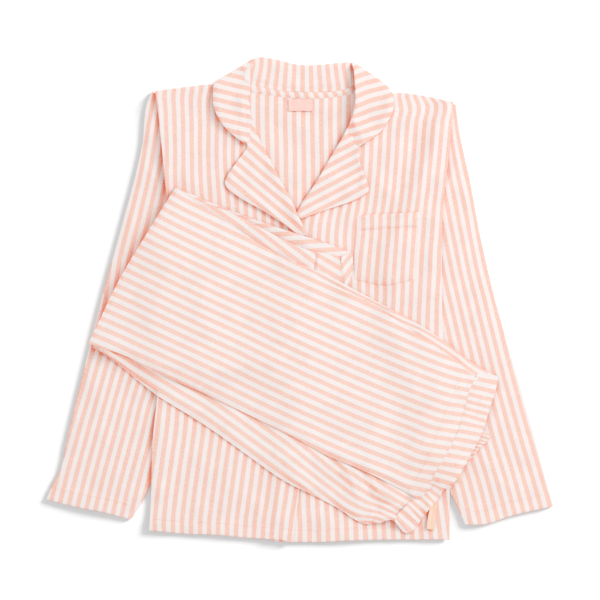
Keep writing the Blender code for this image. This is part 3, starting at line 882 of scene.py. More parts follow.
# %% Sleeve patterns
SLEEVE_RIGHT = drawn("""
    shoulder: -215 303, -204 297
    sleeve head: -222 286, -186 273
    upper arm: -229 225, -171 209
    armpit: -239 181, -154 151
    biceps: -261 99, -128 78
    elbow: -287 4, -139 -19
    forearm: -313 -100, -165 -129
    lower arm: -338 -204, -199 -239
    wrist: -348 -248, -219 -271
    above hem: -357 -265, -229 -293
    hem: -368 -289, -325 -300, -289 -307, -245 -318
""")
SLEEVE_LEFT = drawn("""
    shoulder: 226 284, 216 284
    sleeve head: 229 265, 197 252
    upper arm: 235 225, 186 203
    armpit: 245 180, 165 149
    biceps: 262 90, 133 62
    elbow: 283 0, 139 -29
    forearm: 313 -104, 170 -138
    lower arm: 344 -213, 204 -249
    wrist: 360 -273, 228 -299
    hem: 368 -299, 307 -313, 268 -325, 240 -326
""")
STRIPES_SLEEVE_RIGHT = (76, """
    -365 -267.5 13.29, -316 -267.5 13.18, -281 -266.6 13.08, -242 -265.7 13.03, -207 -264.2 12.74,
    -168 -263.3 12.97, -130 -261.3 12.89, -95 -260.5 12.96, 0 -269.2 13.23, 58 -268.8 13.07,
    88 -269 12.84, 115 -269.2 12.69, 149 -271.6 13.18, 190 -275 12.4, 240 -278 12""")
STRIPES_SLEEVE_LEFT = (104, """
    -372 160.9 13.28, -320 161.5 12.97, -268 158.7 13.02, -220 159.2 12.79, -168 159.5 12.63,
    -120 159.9 12.57, -68 160.9 12.47, -20 162.9 12.2, 28 165.2 12.18, 80 164.9 12.6, 128 172 11.88,
    171 186.4 10.45, 240 209.3 8.69""")
CREASES_SLEEVE_RIGHT = """
    underarm drag: 7 0.9, -232 205, -205 170, -186 120
    upper arm: 9 0.7, -250 120, -222 60, -205 10
    inner elbow: 6 0.8, -250 70, -232 20, -200 -10
    forearm: 10 0.7, -300 -90, -285 -170, -290 -235
    wrist: 7 0.6, -250 -170, -262 -230, -300 -275
"""
CREASES_SLEEVE_LEFT = """
    underarm drag: 7 0.9, 235 215, 215 170, 200 110
    upper arm: 9 0.7, 255 120, 232 60, 215 0
    elbow: 7 0.8, 275 20, 240 -20, 205 -50
    forearm: 10 0.7, 300 -90, 285 -160, 270 -230
    wrist: 7 0.6, 240 -170, 265 -230, 310 -280
"""
print("sleeve patterns:", len(SLEEVE_RIGHT), "and", len(SLEEVE_LEFT), "lines")

# %% [markdown]
# ## Rolling a sleeve
# A flat tube could be two sheets sewn at their sides, but a real sleeve has one seam only. Its
# outer side is a fold, so the grid runs once round: over the top, round the bend, back underneath
# and up to where it began.


# %% Rolling a sleeve
SLEEVE_HEM = 20.0           # mm
SLEEVE_FLOOR = 0.32 * MM    # air below the sleeve
SLEEVE_AIR = 0.5 * MM       # air between its layers, at its sides
SLEEVE_ARCH = 0.9 * MM      # more air, this far and further from its sides
SLEEVE_SIDE = 9 * MM
SLEEVE_RUMPLE = (55, 0.35)
SLEEVE_HEM_THICK = 0.4 * MM


def lay_sleeve(name, sections, stripes, creases, seed):
    """A flat tube, once round: upper layer, underarm bend, lower layer, outer fold."""
    plan = loft(sections, 3.2 * MM)
    rows, columns = plan.shape[:2]
    across = plan[:, -1] - plan[:, 0]
    across /= np.linalg.norm(across, axis=-1, keepdims=True)
    beside = distances(plan, 1)
    fade = smooth_step(np.minimum(beside, beside[:, -1:] - beside) / SLEEVE_SIDE)
    low = CLOTH / 2 + SLEEVE_FLOOR
    high = low + CLOTH + SLEEVE_AIR
    relief = creased(plan, creases) + rumpled(plan, seed, *SLEEVE_RUMPLE) + SLEEVE_ARCH
    upper = high + np.maximum(relief, 0) * fade
    radius = (high - low) / 2
    slack = np.linspace(1, -1, columns)[None, :, None] * across[:, None] * (radius + CLOTH / 2)
    flat = plan + slack
    count = stripe_count(plan, *stripes)
    under = count.copy()
    under[..., 0] = 2 * count[:, :1, 0] - count[..., 0]
    ring, grain = [np.dstack((flat, upper))], [count]
    bend = np.linspace(0, math.pi, 6)[1:-1]
    for edge, way, turn in ((-1, 1, bend), (0, -1, bend[::-1])):
        side = flat[:, edge][:, None] + way * across[:, None] * radius * np.sin(turn)[None, :, None]
        rise = np.broadcast_to(low + radius + radius * np.cos(turn), side.shape[:2])
        side = np.dstack((side, rise))
        if edge == -1:
            lower = np.dstack((flat[:, ::-1], np.full((rows, columns), low)))
            ring += [side, lower]
            grain += [np.repeat(count[:, -1:], len(turn), axis=1), under[:, ::-1]]
        else:
            ring += [side, ring[0][:, :1]]
            grain += [np.repeat(count[:, :1], len(turn), axis=1), count[:, :1]]
    middle, grain = np.concatenate(ring, axis=1), np.concatenate(grain, axis=1)
    band, groove = hem_band(middle, plan[-1, ::2], SLEEVE_HEM)
    walls = CLOTH + np.minimum(band, SLEEVE_HEM_THICK) - groove
    piece, outer = shell(name + "_cloth", middle, walls, grain, shirt_cotton, closed=True,
                         up=(rows // 2, columns // 2))
    press(outer[:, :columns])
    threads = sew(name + "_stitches", [inset(sorted(sections[-1][1:]), SLEEVE_HEM)])
    declare(piece, plan, [name], around=2)


lay_sleeve("sleeve_right", SLEEVE_RIGHT, STRIPES_SLEEVE_RIGHT, CREASES_SLEEVE_RIGHT, seed=11)
lay_sleeve("sleeve_left", SLEEVE_LEFT, STRIPES_SLEEVE_LEFT, CREASES_SLEEVE_LEFT, seed=12)

# %% [markdown]
# ## Body of the shirt
# The back lies on the sleeves' seam edges, the left front on the back, and the right front laps
# over the left one, as on a women's shirt. Only the neck of the back shows.

# %% Back
BACK = drawn("""
    hem: -218 -332, -122 -339, -12 -348, 68 -347, 128 -346, 217 -346
    hip: -213 -209, 215 -209
    waist: -207 -136, 212 -136
    ribs: -201 0, 206 0
    bust: -196 90, 205 90
    armhole: -193 142, 207 142
    chest: -196 174, 211 174
    yoke: -203 255, 220 255
    shoulder: -210 302, -157 309, -121 310, -99 313, -72 313, -44 306, 0 300, 36 300, 72 306,
        99 300, 128 298, 174 296, 222 286
""")
CREASES_BACK = """
    below neck: 12 0.9, -45 285, -10 262, 20 240
    right of neck: 9 0.7, 52 288, 40 250, 22 200
    left of neck: 9 0.6, -58 280, -42 235, -20 190
"""
lay("back", BACK,
    (90, "130 -7.3 12.85, 180 -7.1 13, 220 -7.6 13.01, 260 -8.5 13.12, 300 -8.2 13.19"), step=4.5,
    creases=CREASES_BACK, rumple=(70, 0.35), seed=21)

# %% [markdown]
# ## Left front
# This is the front that the other one laps over. Its neck edge follows the lapel's roll line, and
# its wide shoulder crease runs down from the sleeve head, where the shirt was pulled straight. The
# hem is turned up twice and stitched 17 mm from its edge.

# %% Left front
FRONT_LEFT = drawn("""
    hem: -39 -350, 26 -351, 68 -349, 128 -347.5, 170 -347.5, 207 -347.5, 217 -348
    above hem: -32 -277, 217 -277
    hip: -29 -203, 215 -203
    waist: -26 -136, 212 -136
    ribs: -20 0, 206 0
    lapel break: -14 87, 206 87
    bust: -6 128, 207 128
    chest: 16 160, 210 160
    notch: 42 203, 215 203
    yoke: 67 244, 219 244
    shoulder: 81 293, 116 294, 139 300, 174 297, 222 287
""")
STRIPES_FRONT_LEFT = (90, """
    -347 190.4 13.59, -323 187.7 13.4, -300 184.8 13.3, -280 182.9 13.2, -45 184.5 13.07,
    0 186 12.55, 42 188.3 12.79, 68 189.2 12.43, 94 191.3 12.6, 116 192.8 12.51, 138 194.6 12.27,
    160 197.3 12.25, 181 199.2 12.25, 203 201.5 12.35, 225 203.5 12.46, 246 205.3 12.58,
    262 207.1 12.59, 275 210.1 12.59, 285 209.5 12.76, 295 201 11.44""")
CREASES_FRONT_LEFT = """
    shoulder drag: 13 2.6, 218 285, 189 217, 167 160, 145 130
    below shoulder: 12 1.2, 170 285, 140 220, 118 150
    side: 12 1.5, 196 120, 192 60, 188 0
    above pocket: 10 0.8, 100 200, 120 165, 150 140
    hem wave: 9 0.9, 30 -300, 34 -325, 30 -350
    hem wave two: 8 0.8, 110 -310, 112 -330, 118 -347
    hem wave three: 8 0.7, 185 -280, 182 -315, 186 -347
"""
SHIRT_HEM = 17.0            # mm
lay("front_left", FRONT_LEFT, STRIPES_FRONT_LEFT, creases=CREASES_FRONT_LEFT, rumple=(65, 0.35),
    seed=22, hems=(("start", SHIRT_HEM),),
    seams=[inset(FRONT_LEFT[0][1:], SHIRT_HEM)])

# %% [markdown]
# ## Lapels
# A revere lapel is the front's own facing, turned back along the roll line. The facing lies on
# the front, and along the roll it bends down and under, so its edge there is round, not cut.


# %% Rounding a roll line
ROLL_DEPTH, ROLL_RADIUS = 1.3 * MM, 3.0 * MM


def rolled(middle):
    """Round a lapel down along its roll line, which is the left edge of its grid."""
    turn = 1 - np.clip(distances(middle[..., :2], 1) / ROLL_RADIUS, 0, 1)
    middle[..., 2] -= ROLL_DEPTH * (1 - np.sqrt(1 - turn ** 2))


LAPEL_LEFT = drawn("""
    under the collar: 73 258, 93 246
    gorge: 66 244, 91 234
    notch: 58 229, 86 220
    upper edge: 49 215, 87 200
    point: 39 197, 93 183
    widest: 29 180, 99 167
    round: 19 164, 99 157
    lower edge: 10 151, 83 146
    narrowing: 3 139, 51 135
    above break: -3 130, 22 125
    break: -6 126, 1 117
""")
CREASES_LAPEL_LEFT = """
    along the roll: 6 1, 62 238, 40 200, 20 166, 4 142
    roll at the neck: 9 3.2, 82 276, 74 258, 65 243, 52 219
    free edge: 6 1.2, 84 205, 94 185, 90 160, 60 145
"""
lay("lapel_left", LAPEL_LEFT, (28, "84 -127 12.26, 124 -127 12.65, 164 -127.1 12.62"),
    step=2.4, thick=1.5 * MM, creases=CREASES_LAPEL_LEFT, rumple=(35, 0.3), seed=23,
    shape=rolled)

# %% [markdown]
# ## Chest pocket
# A patch pocket, sewn on along its sides and foot, with a hem at its mouth. It lies on the left
# front, before the trousers cover its lower corner.

# %% Chest pocket
CHEST_POCKET = drawn("""
    foot: 78 30, 122 21, 168 30
    middle: 78 55, 170 55
    hem: 80 90, 173 90
    mouth: 83 122, 116 125, 145 126, 175 128
""")
POCKET_HEM, PATCH_EDGE = 20.0, 1.8          # mm from the mouth, and from the sides and foot
PATCH_SIDES = (((81, 124), (77, 55), (78, 30)), CHEST_POCKET[0][1:],
               ((168, 30), (170, 55), (173, 126)))
lay("chest_pocket", CHEST_POCKET,
    (90, "25 97.4 12.58, 71 101.4 12.4, 97 104 12.23, 125 104.5 12.4"),
    step=2.4, thick=0.7 * MM, creases="slack: 12 0.6, 100 100, 125 75, 140 50",
    rumple=(40, 0.1), seed=24, hems=(("end", POCKET_HEM),),
    sewn=(("start",), ("left",), ("right",)), taper=8.0,
    seams=[inset(CHEST_POCKET[-1][1:], -POCKET_HEM),
           *[inset(side, PATCH_EDGE) for side in PATCH_SIDES]])

# %% [markdown]
# ## Right front
# The upper front, which carries the buttons on its hidden edge here. Its side is lifted a little
# where it crosses the sleeve, so a long soft ridge runs down the armhole.

# %% Right front
FRONT_RIGHT = drawn("""
    hem: -219 -334, -165 -339, -116 -341, -87 -344, -43 -347, -22 -349, -11 -352
    above hem: -216 -276, -1 -276
    hip: -214 -209, 0 -209
    waist: -207 -136, 1 -136
    ribs: -202 0, 6 0
    lapel break: -196 90, 10 90
    bust: -193 142, -12 142
    chest: -196 174, -29 174
    notch: -200 218, -52 218
    yoke: -204 255, -76 255
    shoulder: -210 303, -157 310, -126 312, -104 300, -81 296
""")
STRIPES_FRONT_RIGHT = (90, """
    -345 -209.9 12.98, -319 -210.7 13.21, -297 -208.5 13.3, -276 -206 13.35, -245 -201.4 13.31,
    -219 -197.5 13.28, -188 -193.2 13.25, -150 -189.6 12.77, 150 -179.8 12.48, 180 -181.1 12.26,
    206 -181 11.99, 235 -181.4 12.1, 258 -182 12.35, 280 -182.9 12.4, 295 -183.8 12.84,
    305 -182.8 13.19""")
CREASES_FRONT_RIGHT = """
    shoulder drag: 14 1.6, -150 290, -158 230, -170 170
    armhole edge: 9 3.4, -206 262, -197 215, -193 160, -194 100, -200 20
    chest: 12 1.2, -110 225, -122 185, -135 150
    hem wave: 9 0.9, -60 -290, -54 -320, -60 -347
    hem wave two: 9 0.9, -150 -280, -146 -310, -152 -340
    side: 9 0.8, -205 -150, -200 -220, -206 -290
"""
lay("front_right", FRONT_RIGHT, STRIPES_FRONT_RIGHT, creases=CREASES_FRONT_RIGHT,
    rumple=(65, 0.35), seed=25, hems=(("start", SHIRT_HEM),),
    seams=[inset(FRONT_RIGHT[0][1:], SHIRT_HEM)])

# %% [markdown]
# ## Buttons
# Four shirt buttons go down the right front's edge, where the trousers hide them: cast resin,
# 11.5 mm across, with a raised rim and four holes. One is modelled and then copied.

# %% Button resin
resin, tree, shader = blank_material("cast_resin")
place = node(tree, "ShaderNodeTexCoord").outputs["Object"]
cloud = noise(tree, place, 260.0, 3.0, distortion=1.2)
fill(tree, shader, {"Base Color": blended(tree, cloud, linear("EFE2D6"), linear("FAF3EC")),
                    "Roughness": ranged(tree, cloud, to_low=0.18, to_high=0.32),
                    "Coat Weight": 0.3})
print("material:", resin.name)

# %% [markdown]
# ## One button
# A shirt button is turned from a rod of resin: a disc with a dished face, drilled four times and
# tumbled until its edges are soft. The same steps make it here: inset and sink the face, cut the
# holes and bevel what is left.

# %% Turn, drill and round one button
bpy.ops.object.select_all(action="DESELECT")
BUTTON_RADIUS, BUTTON_THICK = 5.75 * MM, 2.2 * MM
BUTTON_RIM, BUTTON_DISH = 1.3 * MM, 0.5 * MM    # the rim's width, and the dish's slope and depth
HOLE_RADIUS, HOLE_OUT = 0.75 * MM, 1.35 * MM    # a hole, and how far it lies from the middle
bpy.ops.mesh.primitive_cylinder_add(vertices=40, radius=BUTTON_RADIUS, depth=BUTTON_THICK)
button = bpy.context.object
button.name = "button_blank"
bpy.ops.object.mode_set(mode="EDIT")
bpy.ops.mesh.select_all(action="DESELECT")
bpy.ops.object.mode_set(mode="OBJECT")
for face in button.data.polygons:
    face.select = face.normal.z > 0.9
bpy.ops.object.mode_set(mode="EDIT")
bpy.ops.mesh.inset(thickness=BUTTON_RIM)
bpy.ops.mesh.inset(thickness=BUTTON_DISH)
bpy.ops.transform.translate(value=(0.0, 0.0, -BUTTON_DISH))
bpy.ops.object.mode_set(mode="OBJECT")
for hole in range(4):
    turn = math.radians(45 + 90 * hole)
    bpy.ops.mesh.primitive_cylinder_add(
        vertices=16, radius=HOLE_RADIUS, depth=3 * BUTTON_THICK,
        location=(HOLE_OUT * math.cos(turn), HOLE_OUT * math.sin(turn), 0.0))
    drill = bpy.context.object
    cut = button.modifiers.new("hole", "BOOLEAN")
    cut.object, cut.operation, cut.solver = drill, "DIFFERENCE", "EXACT"
    bpy.context.view_layer.objects.active = button
    bpy.ops.object.modifier_apply(modifier=cut.name)
    bpy.data.objects.remove(drill)
rounding = button.modifiers.new("rounding", "BEVEL")
rounding.width, rounding.segments, rounding.angle_limit = 0.28 * MM, 3, math.radians(40)
bpy.ops.object.select_all(action="DESELECT")
button.select_set(True)
bpy.context.view_layer.objects.active = button
bpy.ops.object.modifier_apply(modifier=rounding.name)
bpy.ops.object.shade_smooth_by_angle(angle=math.radians(35))
button.data.materials.append(resin)
print("faces of a button:", len(button.data.polygons))

# %% [markdown]
# ## Four copies
# The frame says where each button sits. Each copy has its own mesh, moved to that place and set on
# the cloth, so that it stays seated whatever lies below it.

# %% Four copies, on the front
BUTTON_GAP = 0.05 * MM      # between a button and the cloth
BUTTON_REACH = 4 * MM       # how far around its middle it touches the cloth
for number in range(1, 5):
    low, high = [Vector(corner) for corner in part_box(f"button_{number}")]
    middle = np.array([[low[:2], high[:2]]]).mean(axis=1, keepdims=True)
    seat = float(felt(middle, BUTTON_REACH)[0, 0])
    mesh = button.data.copy()
    mesh.name = f"button_{number}_resin"
    for vertex in mesh.vertices:
        vertex.co += Vector(((low.x + high.x) / 2, (low.y + high.y) / 2,
                             seat + BUTTON_THICK / 2 + BUTTON_GAP))
    copy = placed(mesh.name, mesh)
    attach(copy, "root")
    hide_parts(f"button_{number}")
    press(np.array([[vertex.co for vertex in mesh.vertices]]).repeat(2, axis=0), 1)
    print(copy.name, "solid from", round(low.z / MM, 2), "cloth at", round(seat / MM, 2), "mm")
bpy.data.objects.remove(button)

# %% [markdown]
# ## The right lapel
# It lies on the right front, and its facing runs on under the collar's end.

# %% Right lapel
LAPEL_RIGHT = drawn("""
    under the collar: -69 264, -86 252
    gorge: -66 250, -84 236
    notch: -58 231, -77 222.5
    upper edge: -52 219, -90 203
    point: -41 199, -104 183
    widest: -32 180, -109 171
    round: -23 164, -104 160
    lower edge: -14 148, -87 148
    narrowing: -6 129, -55 130
    above break: 3 110, -22 109
    break: 10 93, -3 94
""")
CREASES_LAPEL_RIGHT = """
    along the roll: 7 0.9, -48 205, -25 160, -5 120
    free edge: 8 2.2, -80 214, -100 188, -100 170, -84 156, -50 136, -20 112
"""
lay("lapel_right", LAPEL_RIGHT, (-40, "-194 -93.3 13.12, -144 -93 12.62, -95 -93.6 13.01"),
    step=2.4, thick=1.5 * MM, creases=CREASES_LAPEL_RIGHT, rumple=(35, 0.3), seed=26,
    sewn=(("start",),), taper=10.0, shape=rolled)

# %% [markdown]
# ## Collar
# At the back of the neck the collar stands, rolls over and lies down behind, and its two ends lie
# on the fronts. The neck seam is covered by a bias strip, cut at 45 degrees so that it follows the
# curve, and the label is sewn in below it.

# %% Neck binding
NECK_BINDING = drawn("""
    lower edge: -80 302, -44 297, 0 292, 36 293, 77 299
    upper edge: -80 319, -44 311, 0 305, 36 305, 77 312
""")
lay("neck_binding", NECK_BINDING, (-79, "-310 -50 12.61, -282 -53.8 13.38"), step=2.0,
    thick=0.4 * MM, rumple=(20, 0.1), seed=31, sewn=(("start",), ("end",)), taper=4.0)

# %% [markdown]
# ## Stand and ends
# One strip of cloth makes the whole collar, but it shows as three parts, each with its own grain:
# the stand, seen from inside, and the two ends that have rolled over on to the fronts. Modelling
# them apart lets each lie at its own angle. They meet in the roll, where cloth is tightest, and
# the right end keeps a small pinched fold there.

# %% Collar stand and ends
COLLAR_STAND = drawn("""
    right end: -82 318, -79 341
    right roll: -62 311, -58 351.7
    right of centre: -36 305, -36 349
    centre back: 0 302, 0 341
    left of centre: 36 302, 36 342
    left roll: 58 304, 58 344
    left end: 74 309, 75 344
""")
COLLAR_FALL_RIGHT = drawn("""
    roll: -72 348, -65 349
    neck: -87 338, -71 334
    shoulder: -107 326, -72 322
    corner: -123 315, -72 310
    widest: -126 297, -72 293
    upper chest: -125 280, -72 276
    rounding: -117 262, -70 258
    narrowing: -104 245, -72 244
    point: -89 233, -73 235
    gorge: -78 225, -74 229
""")
COLLAR_FALL_LEFT = drawn("""
    roll: 75 344, 83 341
    neck: 78 331, 102 329
    shoulder: 79 316, 120 316
    corner: 80 303, 133 303
    widest: 80 289, 136 289
    upper chest: 77 271, 134 271
    rounding: 72 255, 126 257
    narrowing: 70 245, 115 242
    point: 78 236, 100 231
    gorge: 81 226, 86 223
""")
COLLAR_FOLD = drawn("""
    roll: -74.5 341.5, -70.5 342
    upper: -77.5 336, -70.5 336
    middle: -81.5 328, -70.5 327
    lower: -81.5 320, -70.5 319
    foot: -75 315.5, -70.5 312
""")
print("collar:", len(COLLAR_STAND), "lines in the stand")

# %% [markdown]
# ## Laying the collar
# The stand goes down first, then the right end, its pinched fold, and the left end. All but the
# fold come down to the table where the collar rolls over.

# %% Laying the collar
ROLL_EDGE = np.array([section[2] for section in COLLAR_BEHIND]) * MM
ROLL_WIDTH = 9 * MM         # over this width the collar comes down to
ROLL_HEIGHT = 1.5 * MM      # this height


def over_the_roll(middle):
    """Bring the sheet down to the table where the collar rolls over behind the neck."""
    away, _ = from_line(middle[..., :2], ROLL_EDGE)
    share = np.sqrt(1 - (1 - np.clip(away / ROLL_WIDTH, 0, 1)) ** 2)
    middle[..., 2] = ROLL_HEIGHT + (middle[..., 2] - ROLL_HEIGHT) * share


lay("collar_stand", COLLAR_STAND, (89, "310 -1.8 13.06, 339 -2.1 11.94"), step=2.4,
    thick=1.0 * MM, rumple=(45, 0.15), seed=32, nodes=["collar"], sewn=(("left",),), taper=14.0,
    shape=over_the_roll)
lay("collar_right_end", COLLAR_FALL_RIGHT, (-13, "-179 -255.7 13.08, -134 -255.6 13.12"),
    step=2.4, thick=1.6 * MM, rumple=(40, 0.3), seed=33, nodes=["collar"],
    creases="""
        beside the neck: 8 0.7, -80 325, -84 290, -80 250
        free edge: 11 4.2, -92 326, -116 314, -121 290, -112 262, -90 240
    """,
    sewn=(("right",),), taper=12.0, shape=over_the_roll)
lay("collar_fold_cloth", COLLAR_FOLD, (90, "300 -66.3 24, 350 -66.3 24"), step=1.6,
    thick=0.8 * MM, rumple=(20, 0.05), seed=36, nodes=[], taper=3.0,
    sewn=(("left",), ("right",), ("start",), ("end",)))
lay("collar_left_end", COLLAR_FALL_LEFT,
    (17, "157 -231.7 12.59, 181 -233.4 13.2, 205 -232.2 13.24"),
    step=2.4, thick=1.3 * MM, rumple=(40, 0.2), seed=34, nodes=["collar"],
    creases="""
        roll beside the neck: 11 8, 80 354, 81 325, 82 300, 81 280, 78 266, 74 252
        free edge: 6 1.6, 115 320, 130 300, 128 275, 112 248
    """,
    sewn=(("left", 0.76, 1.0),), taper=12.0,
    shape=over_the_roll)

# %% [markdown]
# ## Neck label
# A small satin rectangle below the binding. It is left blank.

# %% Neck label
NECK_LABEL = drawn("""
    lower edge: -17 274, 18 274
    upper edge: -17 291, 18 291
""")
lay("neck_label", NECK_LABEL, (90, "270 0 10, 295 0 10"), step=2.0, thick=0.6 * MM,
    rumple=(20, 0.15), seed=35, material=label_satin)

# %% [markdown]
# ## Trousers
# Each leg is two layers of cloth pressed together. The trousers are folded leg on leg, and both
# legs are turned under at the knee, so from the table up there are the end of the upper leg, the
# end of the lower leg, the lower leg and the upper leg. Each leg is one sheet that goes under,
# round its knee and back over itself.

# %% Leg patterns
LEG = 2.2 * MM
KNEE_UPPER = ("knee", (-180, 164), (-218, 103), (-260, 33), (-306, -62))
UPPER_LEG = [KNEE_UPPER, *drawn("""
    shin: -145 138, -248 -83
    below knee: -110 115, -196 -110
    above knee: -72 90, -145 -133
    mid thigh: -41 71, -93 -158
    thigh: 0 49, -41 -183
    upper thigh: 44 25, 0 -204
    crotch: 87 3, 36 -224
    seat: 145 -32, 77 -241
    hip: 196 -68, 116 -259
    below waist: 229 -90, 149 -276
    waist seam: 253 -111, 238 -157, 220 -206, 191 -257, 170 -288
    inside the casing: 264 -115, 249 -161, 230.5 -210, 199 -262, 173 -290
""")]
UPPER_LEG_END = [*drawn("""
    hem: 74 69, 74.5 44, 66 19, 48 -32, 17 -96
    above hem: 51 78, -14 -104
    ankle: 12 91, -72 -107
    calf: -46 110, -152 -107
    shin: -113 135, -232 -90
"""), KNEE_UPPER]
KNEE_LOWER = ("knee", (-174, 160), (-214, 97), (-256, 28), (-301, -68))
LOWER_LEG = [KNEE_LOWER, *drawn("""
    shin: -138 128, -268 -90
    below knee: -104 103, -212 -135
    above knee: -67 78, -165 -165
    mid thigh: -35 59, -117 -196
    thigh: 0 52, -67 -232
    upper thigh: 29 41, -30 -258
    crotch: 70 20, 20 -284
    seat: 130 -12, 55 -302
    hip: 188 -45, 90 -324
    below waist: 245 -87, 116 -323
    waist seam: 271 -103, 246 -188, 194 -267, 173 -286, 152 -302, 137 -321
    inside the casing: 281 -108, 256 -192.5, 202 -274, 180 -293, 159 -309, 145 -328
""")]
LOWER_LEG_END = [*drawn("""
    hem: 23 68, 20 45, 0 -14, -41 -80
    above hem: -14 83, -87 -93
    ankle: -61 107, -145 -96
    calf: -102 128, -203 -90
    shin: -141 141, -254 -78
"""), KNEE_LOWER]
print("leg patterns:", len(UPPER_LEG), "and", len(LOWER_LEG), "lines")

# %% [markdown]
# ## Stripes and creases of the legs
# The stripes run along each leg. The waist pulls the upper leg into long soft ridges, and the lower
# leg is folded into pockets where it meets its casing.

# %% Leg stripes and creases
STRIPES_UPPER_LEG = (-26, """
    -265 -21.3 13.14 -0.028, -220 -19 12.63 -0.062, -170 -18.7 12.75 -0.013, -110 -19.2 12.89 0.039,
    -50 -20.2 12.6 -0.04, 10 -21.1 12.76 -0.025, 70 -23.6 13.08 0.026, 120 -25.4 13.09 0.025,
    160 -26.8 12.83 -0.031, 195 -28.2 12.5 -0.094, 225 -30.6 12.44 -0.106, 255 -35.6 12.69 -0.107,
    285 -42.3 12.18 -0.244""", -60)
STRIPES_LOWER_LEG = (-32, """
    -135 205.1 13.44, -100 205 12.96, -78 205 12.72, -35 204.2 12.43, 9 206.3 12.74, 52 209.4 12.86,
    96 212.3 12.8, 139 215.8 11.99, 178 219.3 11.6, 222 222.6 12.1, 238 222.6 12 0.5,
    265 221 11.6 3.2, 285 221 11.6 4.6""", 150)
# The lower leg's count along its upper edge, where the cloth turns down.
EDGE_COUNT = (-40 * MM, -20 * MM)           # the change to it, measured across the leg
STRIPES_LOWER_EDGE = (-28, """
    20 -38.5 7, 60 -39 7, 86 -39.8 7, 150 -42.7 7.4, 173 -44.6 7.8, 207 -43.3 8.2, 241 -39.8 8.6,
    260 -36.6 9.2, 277 -35.5 10, 300 -38 11""")
STRIPES_UPPER_END = (3, "-200 -97.5 14, -71 -97 13.6, 52 -97.1 13.23")
STRIPES_LOWER_END = (-37, """
    -200 -43.7 13.1, -111 -44.4 12.2, -70 -43.6 12.57, -29 -43.4 12.68""")
CREASES_UPPER_LEG = """
    waist pull: 10 1.6, 216 -95, 196 -130, 165 -158
    waist pull two: 11 1.6, 222 -150, 196 -172, 160 -190
    waist pull three: 10 1.5, 196 -215, 165 -225, 128 -232
    seat: 14 1.2, 140 -120, 110 -170, 95 -215
    thigh: 16 1, 60 -20, 20 -80, 0 -140
    knee: 14 1, -160 110, -195 50, -222 -20
    shin: 14 0.8, -110 60, -140 0, -150 -60
"""
CREASES_LOWER_LEG = """
    pocket fold: 8 4.4, 56 -226, 68 -243, 78 -264, 83 -290
    edge lift: 6 4.6, 106 -318, 126 -315, 136 -314, 146 -322
    tuck at the edge: 3.5 1.6, 105 -300, 104 -310, 99 -324, 97 -332
    hip fold: 6 4.6, 98 -248, 116 -278, 132 -288, 154 -293
    hem fold: 5 4.2, 116 -305, 138 -301, 160 -290
    thigh fold: 12 1.6, 10 -215, 40 -240, 60 -270
"""
print("creases:", len(drawn(CREASES_UPPER_LEG)), "and", len(drawn(CREASES_LOWER_LEG)))

# %% [markdown]
# ## Folding a leg at its knee
# A folded leg could be two flat parts, but then the knee would show an open edge. Here rows of
# points turn half a circle from the part beneath to the part above, and one shell covers it all.

# %% Folding a leg at its knee
LEG_STEP, END_STEP = 3.0, 4.5               # mm between the rows of a leg and of its hidden end
LEG_COLUMNS = spread(250 * MM, LEG_STEP * MM)
LEG_FEEL, LEG_PASSES = 4 * MM, 30           # two layers are stiffer than one
LEG_TAPER = 6.0                             # mm over which a leg's sewn side thins


def inset_knee(sections, distance):
    """The sections with their knee moved in along the leg, to leave room for its rounding."""
    moved = []
    for name, *points in sections:
        if name == "knee":
            run = np.array(points[-1], float) - np.array(points[0], float)
            inward = np.array((-run[1], run[0])) / np.linalg.norm(run)
            points = [tuple(np.array(point) + inward * distance) for point in points]
        moved.append((name, *points))
    return tuple(moved)


def lower_leg_stripes(plan):
    """The lower leg's count, which changes under the upper leg to that of its upper edge."""
    turn = math.radians(STRIPES_LOWER_LEG[0])
    beside = plan[..., 0] * math.sin(turn) - plan[..., 1] * math.cos(turn)
    share = smooth_step((beside - EDGE_COUNT[0]) / (EDGE_COUNT[1] - EDGE_COUNT[0]))[..., None]
    return (stripe_count(plan, *STRIPES_LOWER_EDGE) * (1 - share)
            + stripe_count(plan, *STRIPES_LOWER_LEG) * share)


def leg_layer(sections, moved_in, step, creases, rumple, seed):
    """One layer of a leg, settled on the pile: its middle surface."""
    plan = loft(inset_knee(sections, moved_in), step * MM, LEG_COLUMNS)
    relief = creased(plan, creases) + rumpled(plan, seed, *rumple)
    low = settled(plan, LEG_FEEL, LEG_PASSES, relief, rumple[1])
    return np.dstack((plan, low + LEG / 2))


def knee_rows(under, over, bulge, count=7):
    """Rows that round the knee, from the turned-under end to the leg above it."""
    run = over[-1] - over[0]
    outward = np.array((run[1], -run[0], 0.0))
    outward /= np.linalg.norm(outward)
    rows = []
    for step in range(1, count + 1):
        angle = math.pi * step / (count + 1)
        share = (1 - math.cos(angle)) / 2
        rows.append(under * (1 - share) + over * share + outward * bulge * MM * math.sin(angle))
    return np.array(rows)


def pressed_layer(middle):
    """Put the upper face of one leg layer on the map."""
    top = middle.copy()
    top[..., 2] += LEG / 2
    press(top)


def fold_leg(name, under, over, bulge, stripes_under, stripes_over, sewn, seams=()):
    """One shell from the hem, under, round the knee and over to the waist."""
    knee = knee_rows(under[-1], over[0], bulge)
    middle = np.concatenate((under, knee, over))
    walls = sewn_down(middle, np.full(middle.shape[:2], LEG), sewn, LEG_TAPER)
    grain = np.concatenate((stripe_count(under[..., :2], *stripes_under),
                            stripes_over(knee[..., :2]), stripes_over(over[..., :2])))
    piece, outer = shell(name + "_cloth", middle, walls, grain, trouser_cotton, layered=True,
                         up=(-5, middle.shape[1] // 2))
    press(outer[len(under):])
    threads = [sew(name + "_stitches", seams)] if seams else []
    declare(piece, middle[..., :2], [name])


print("points across a leg:", len(LEG_COLUMNS))

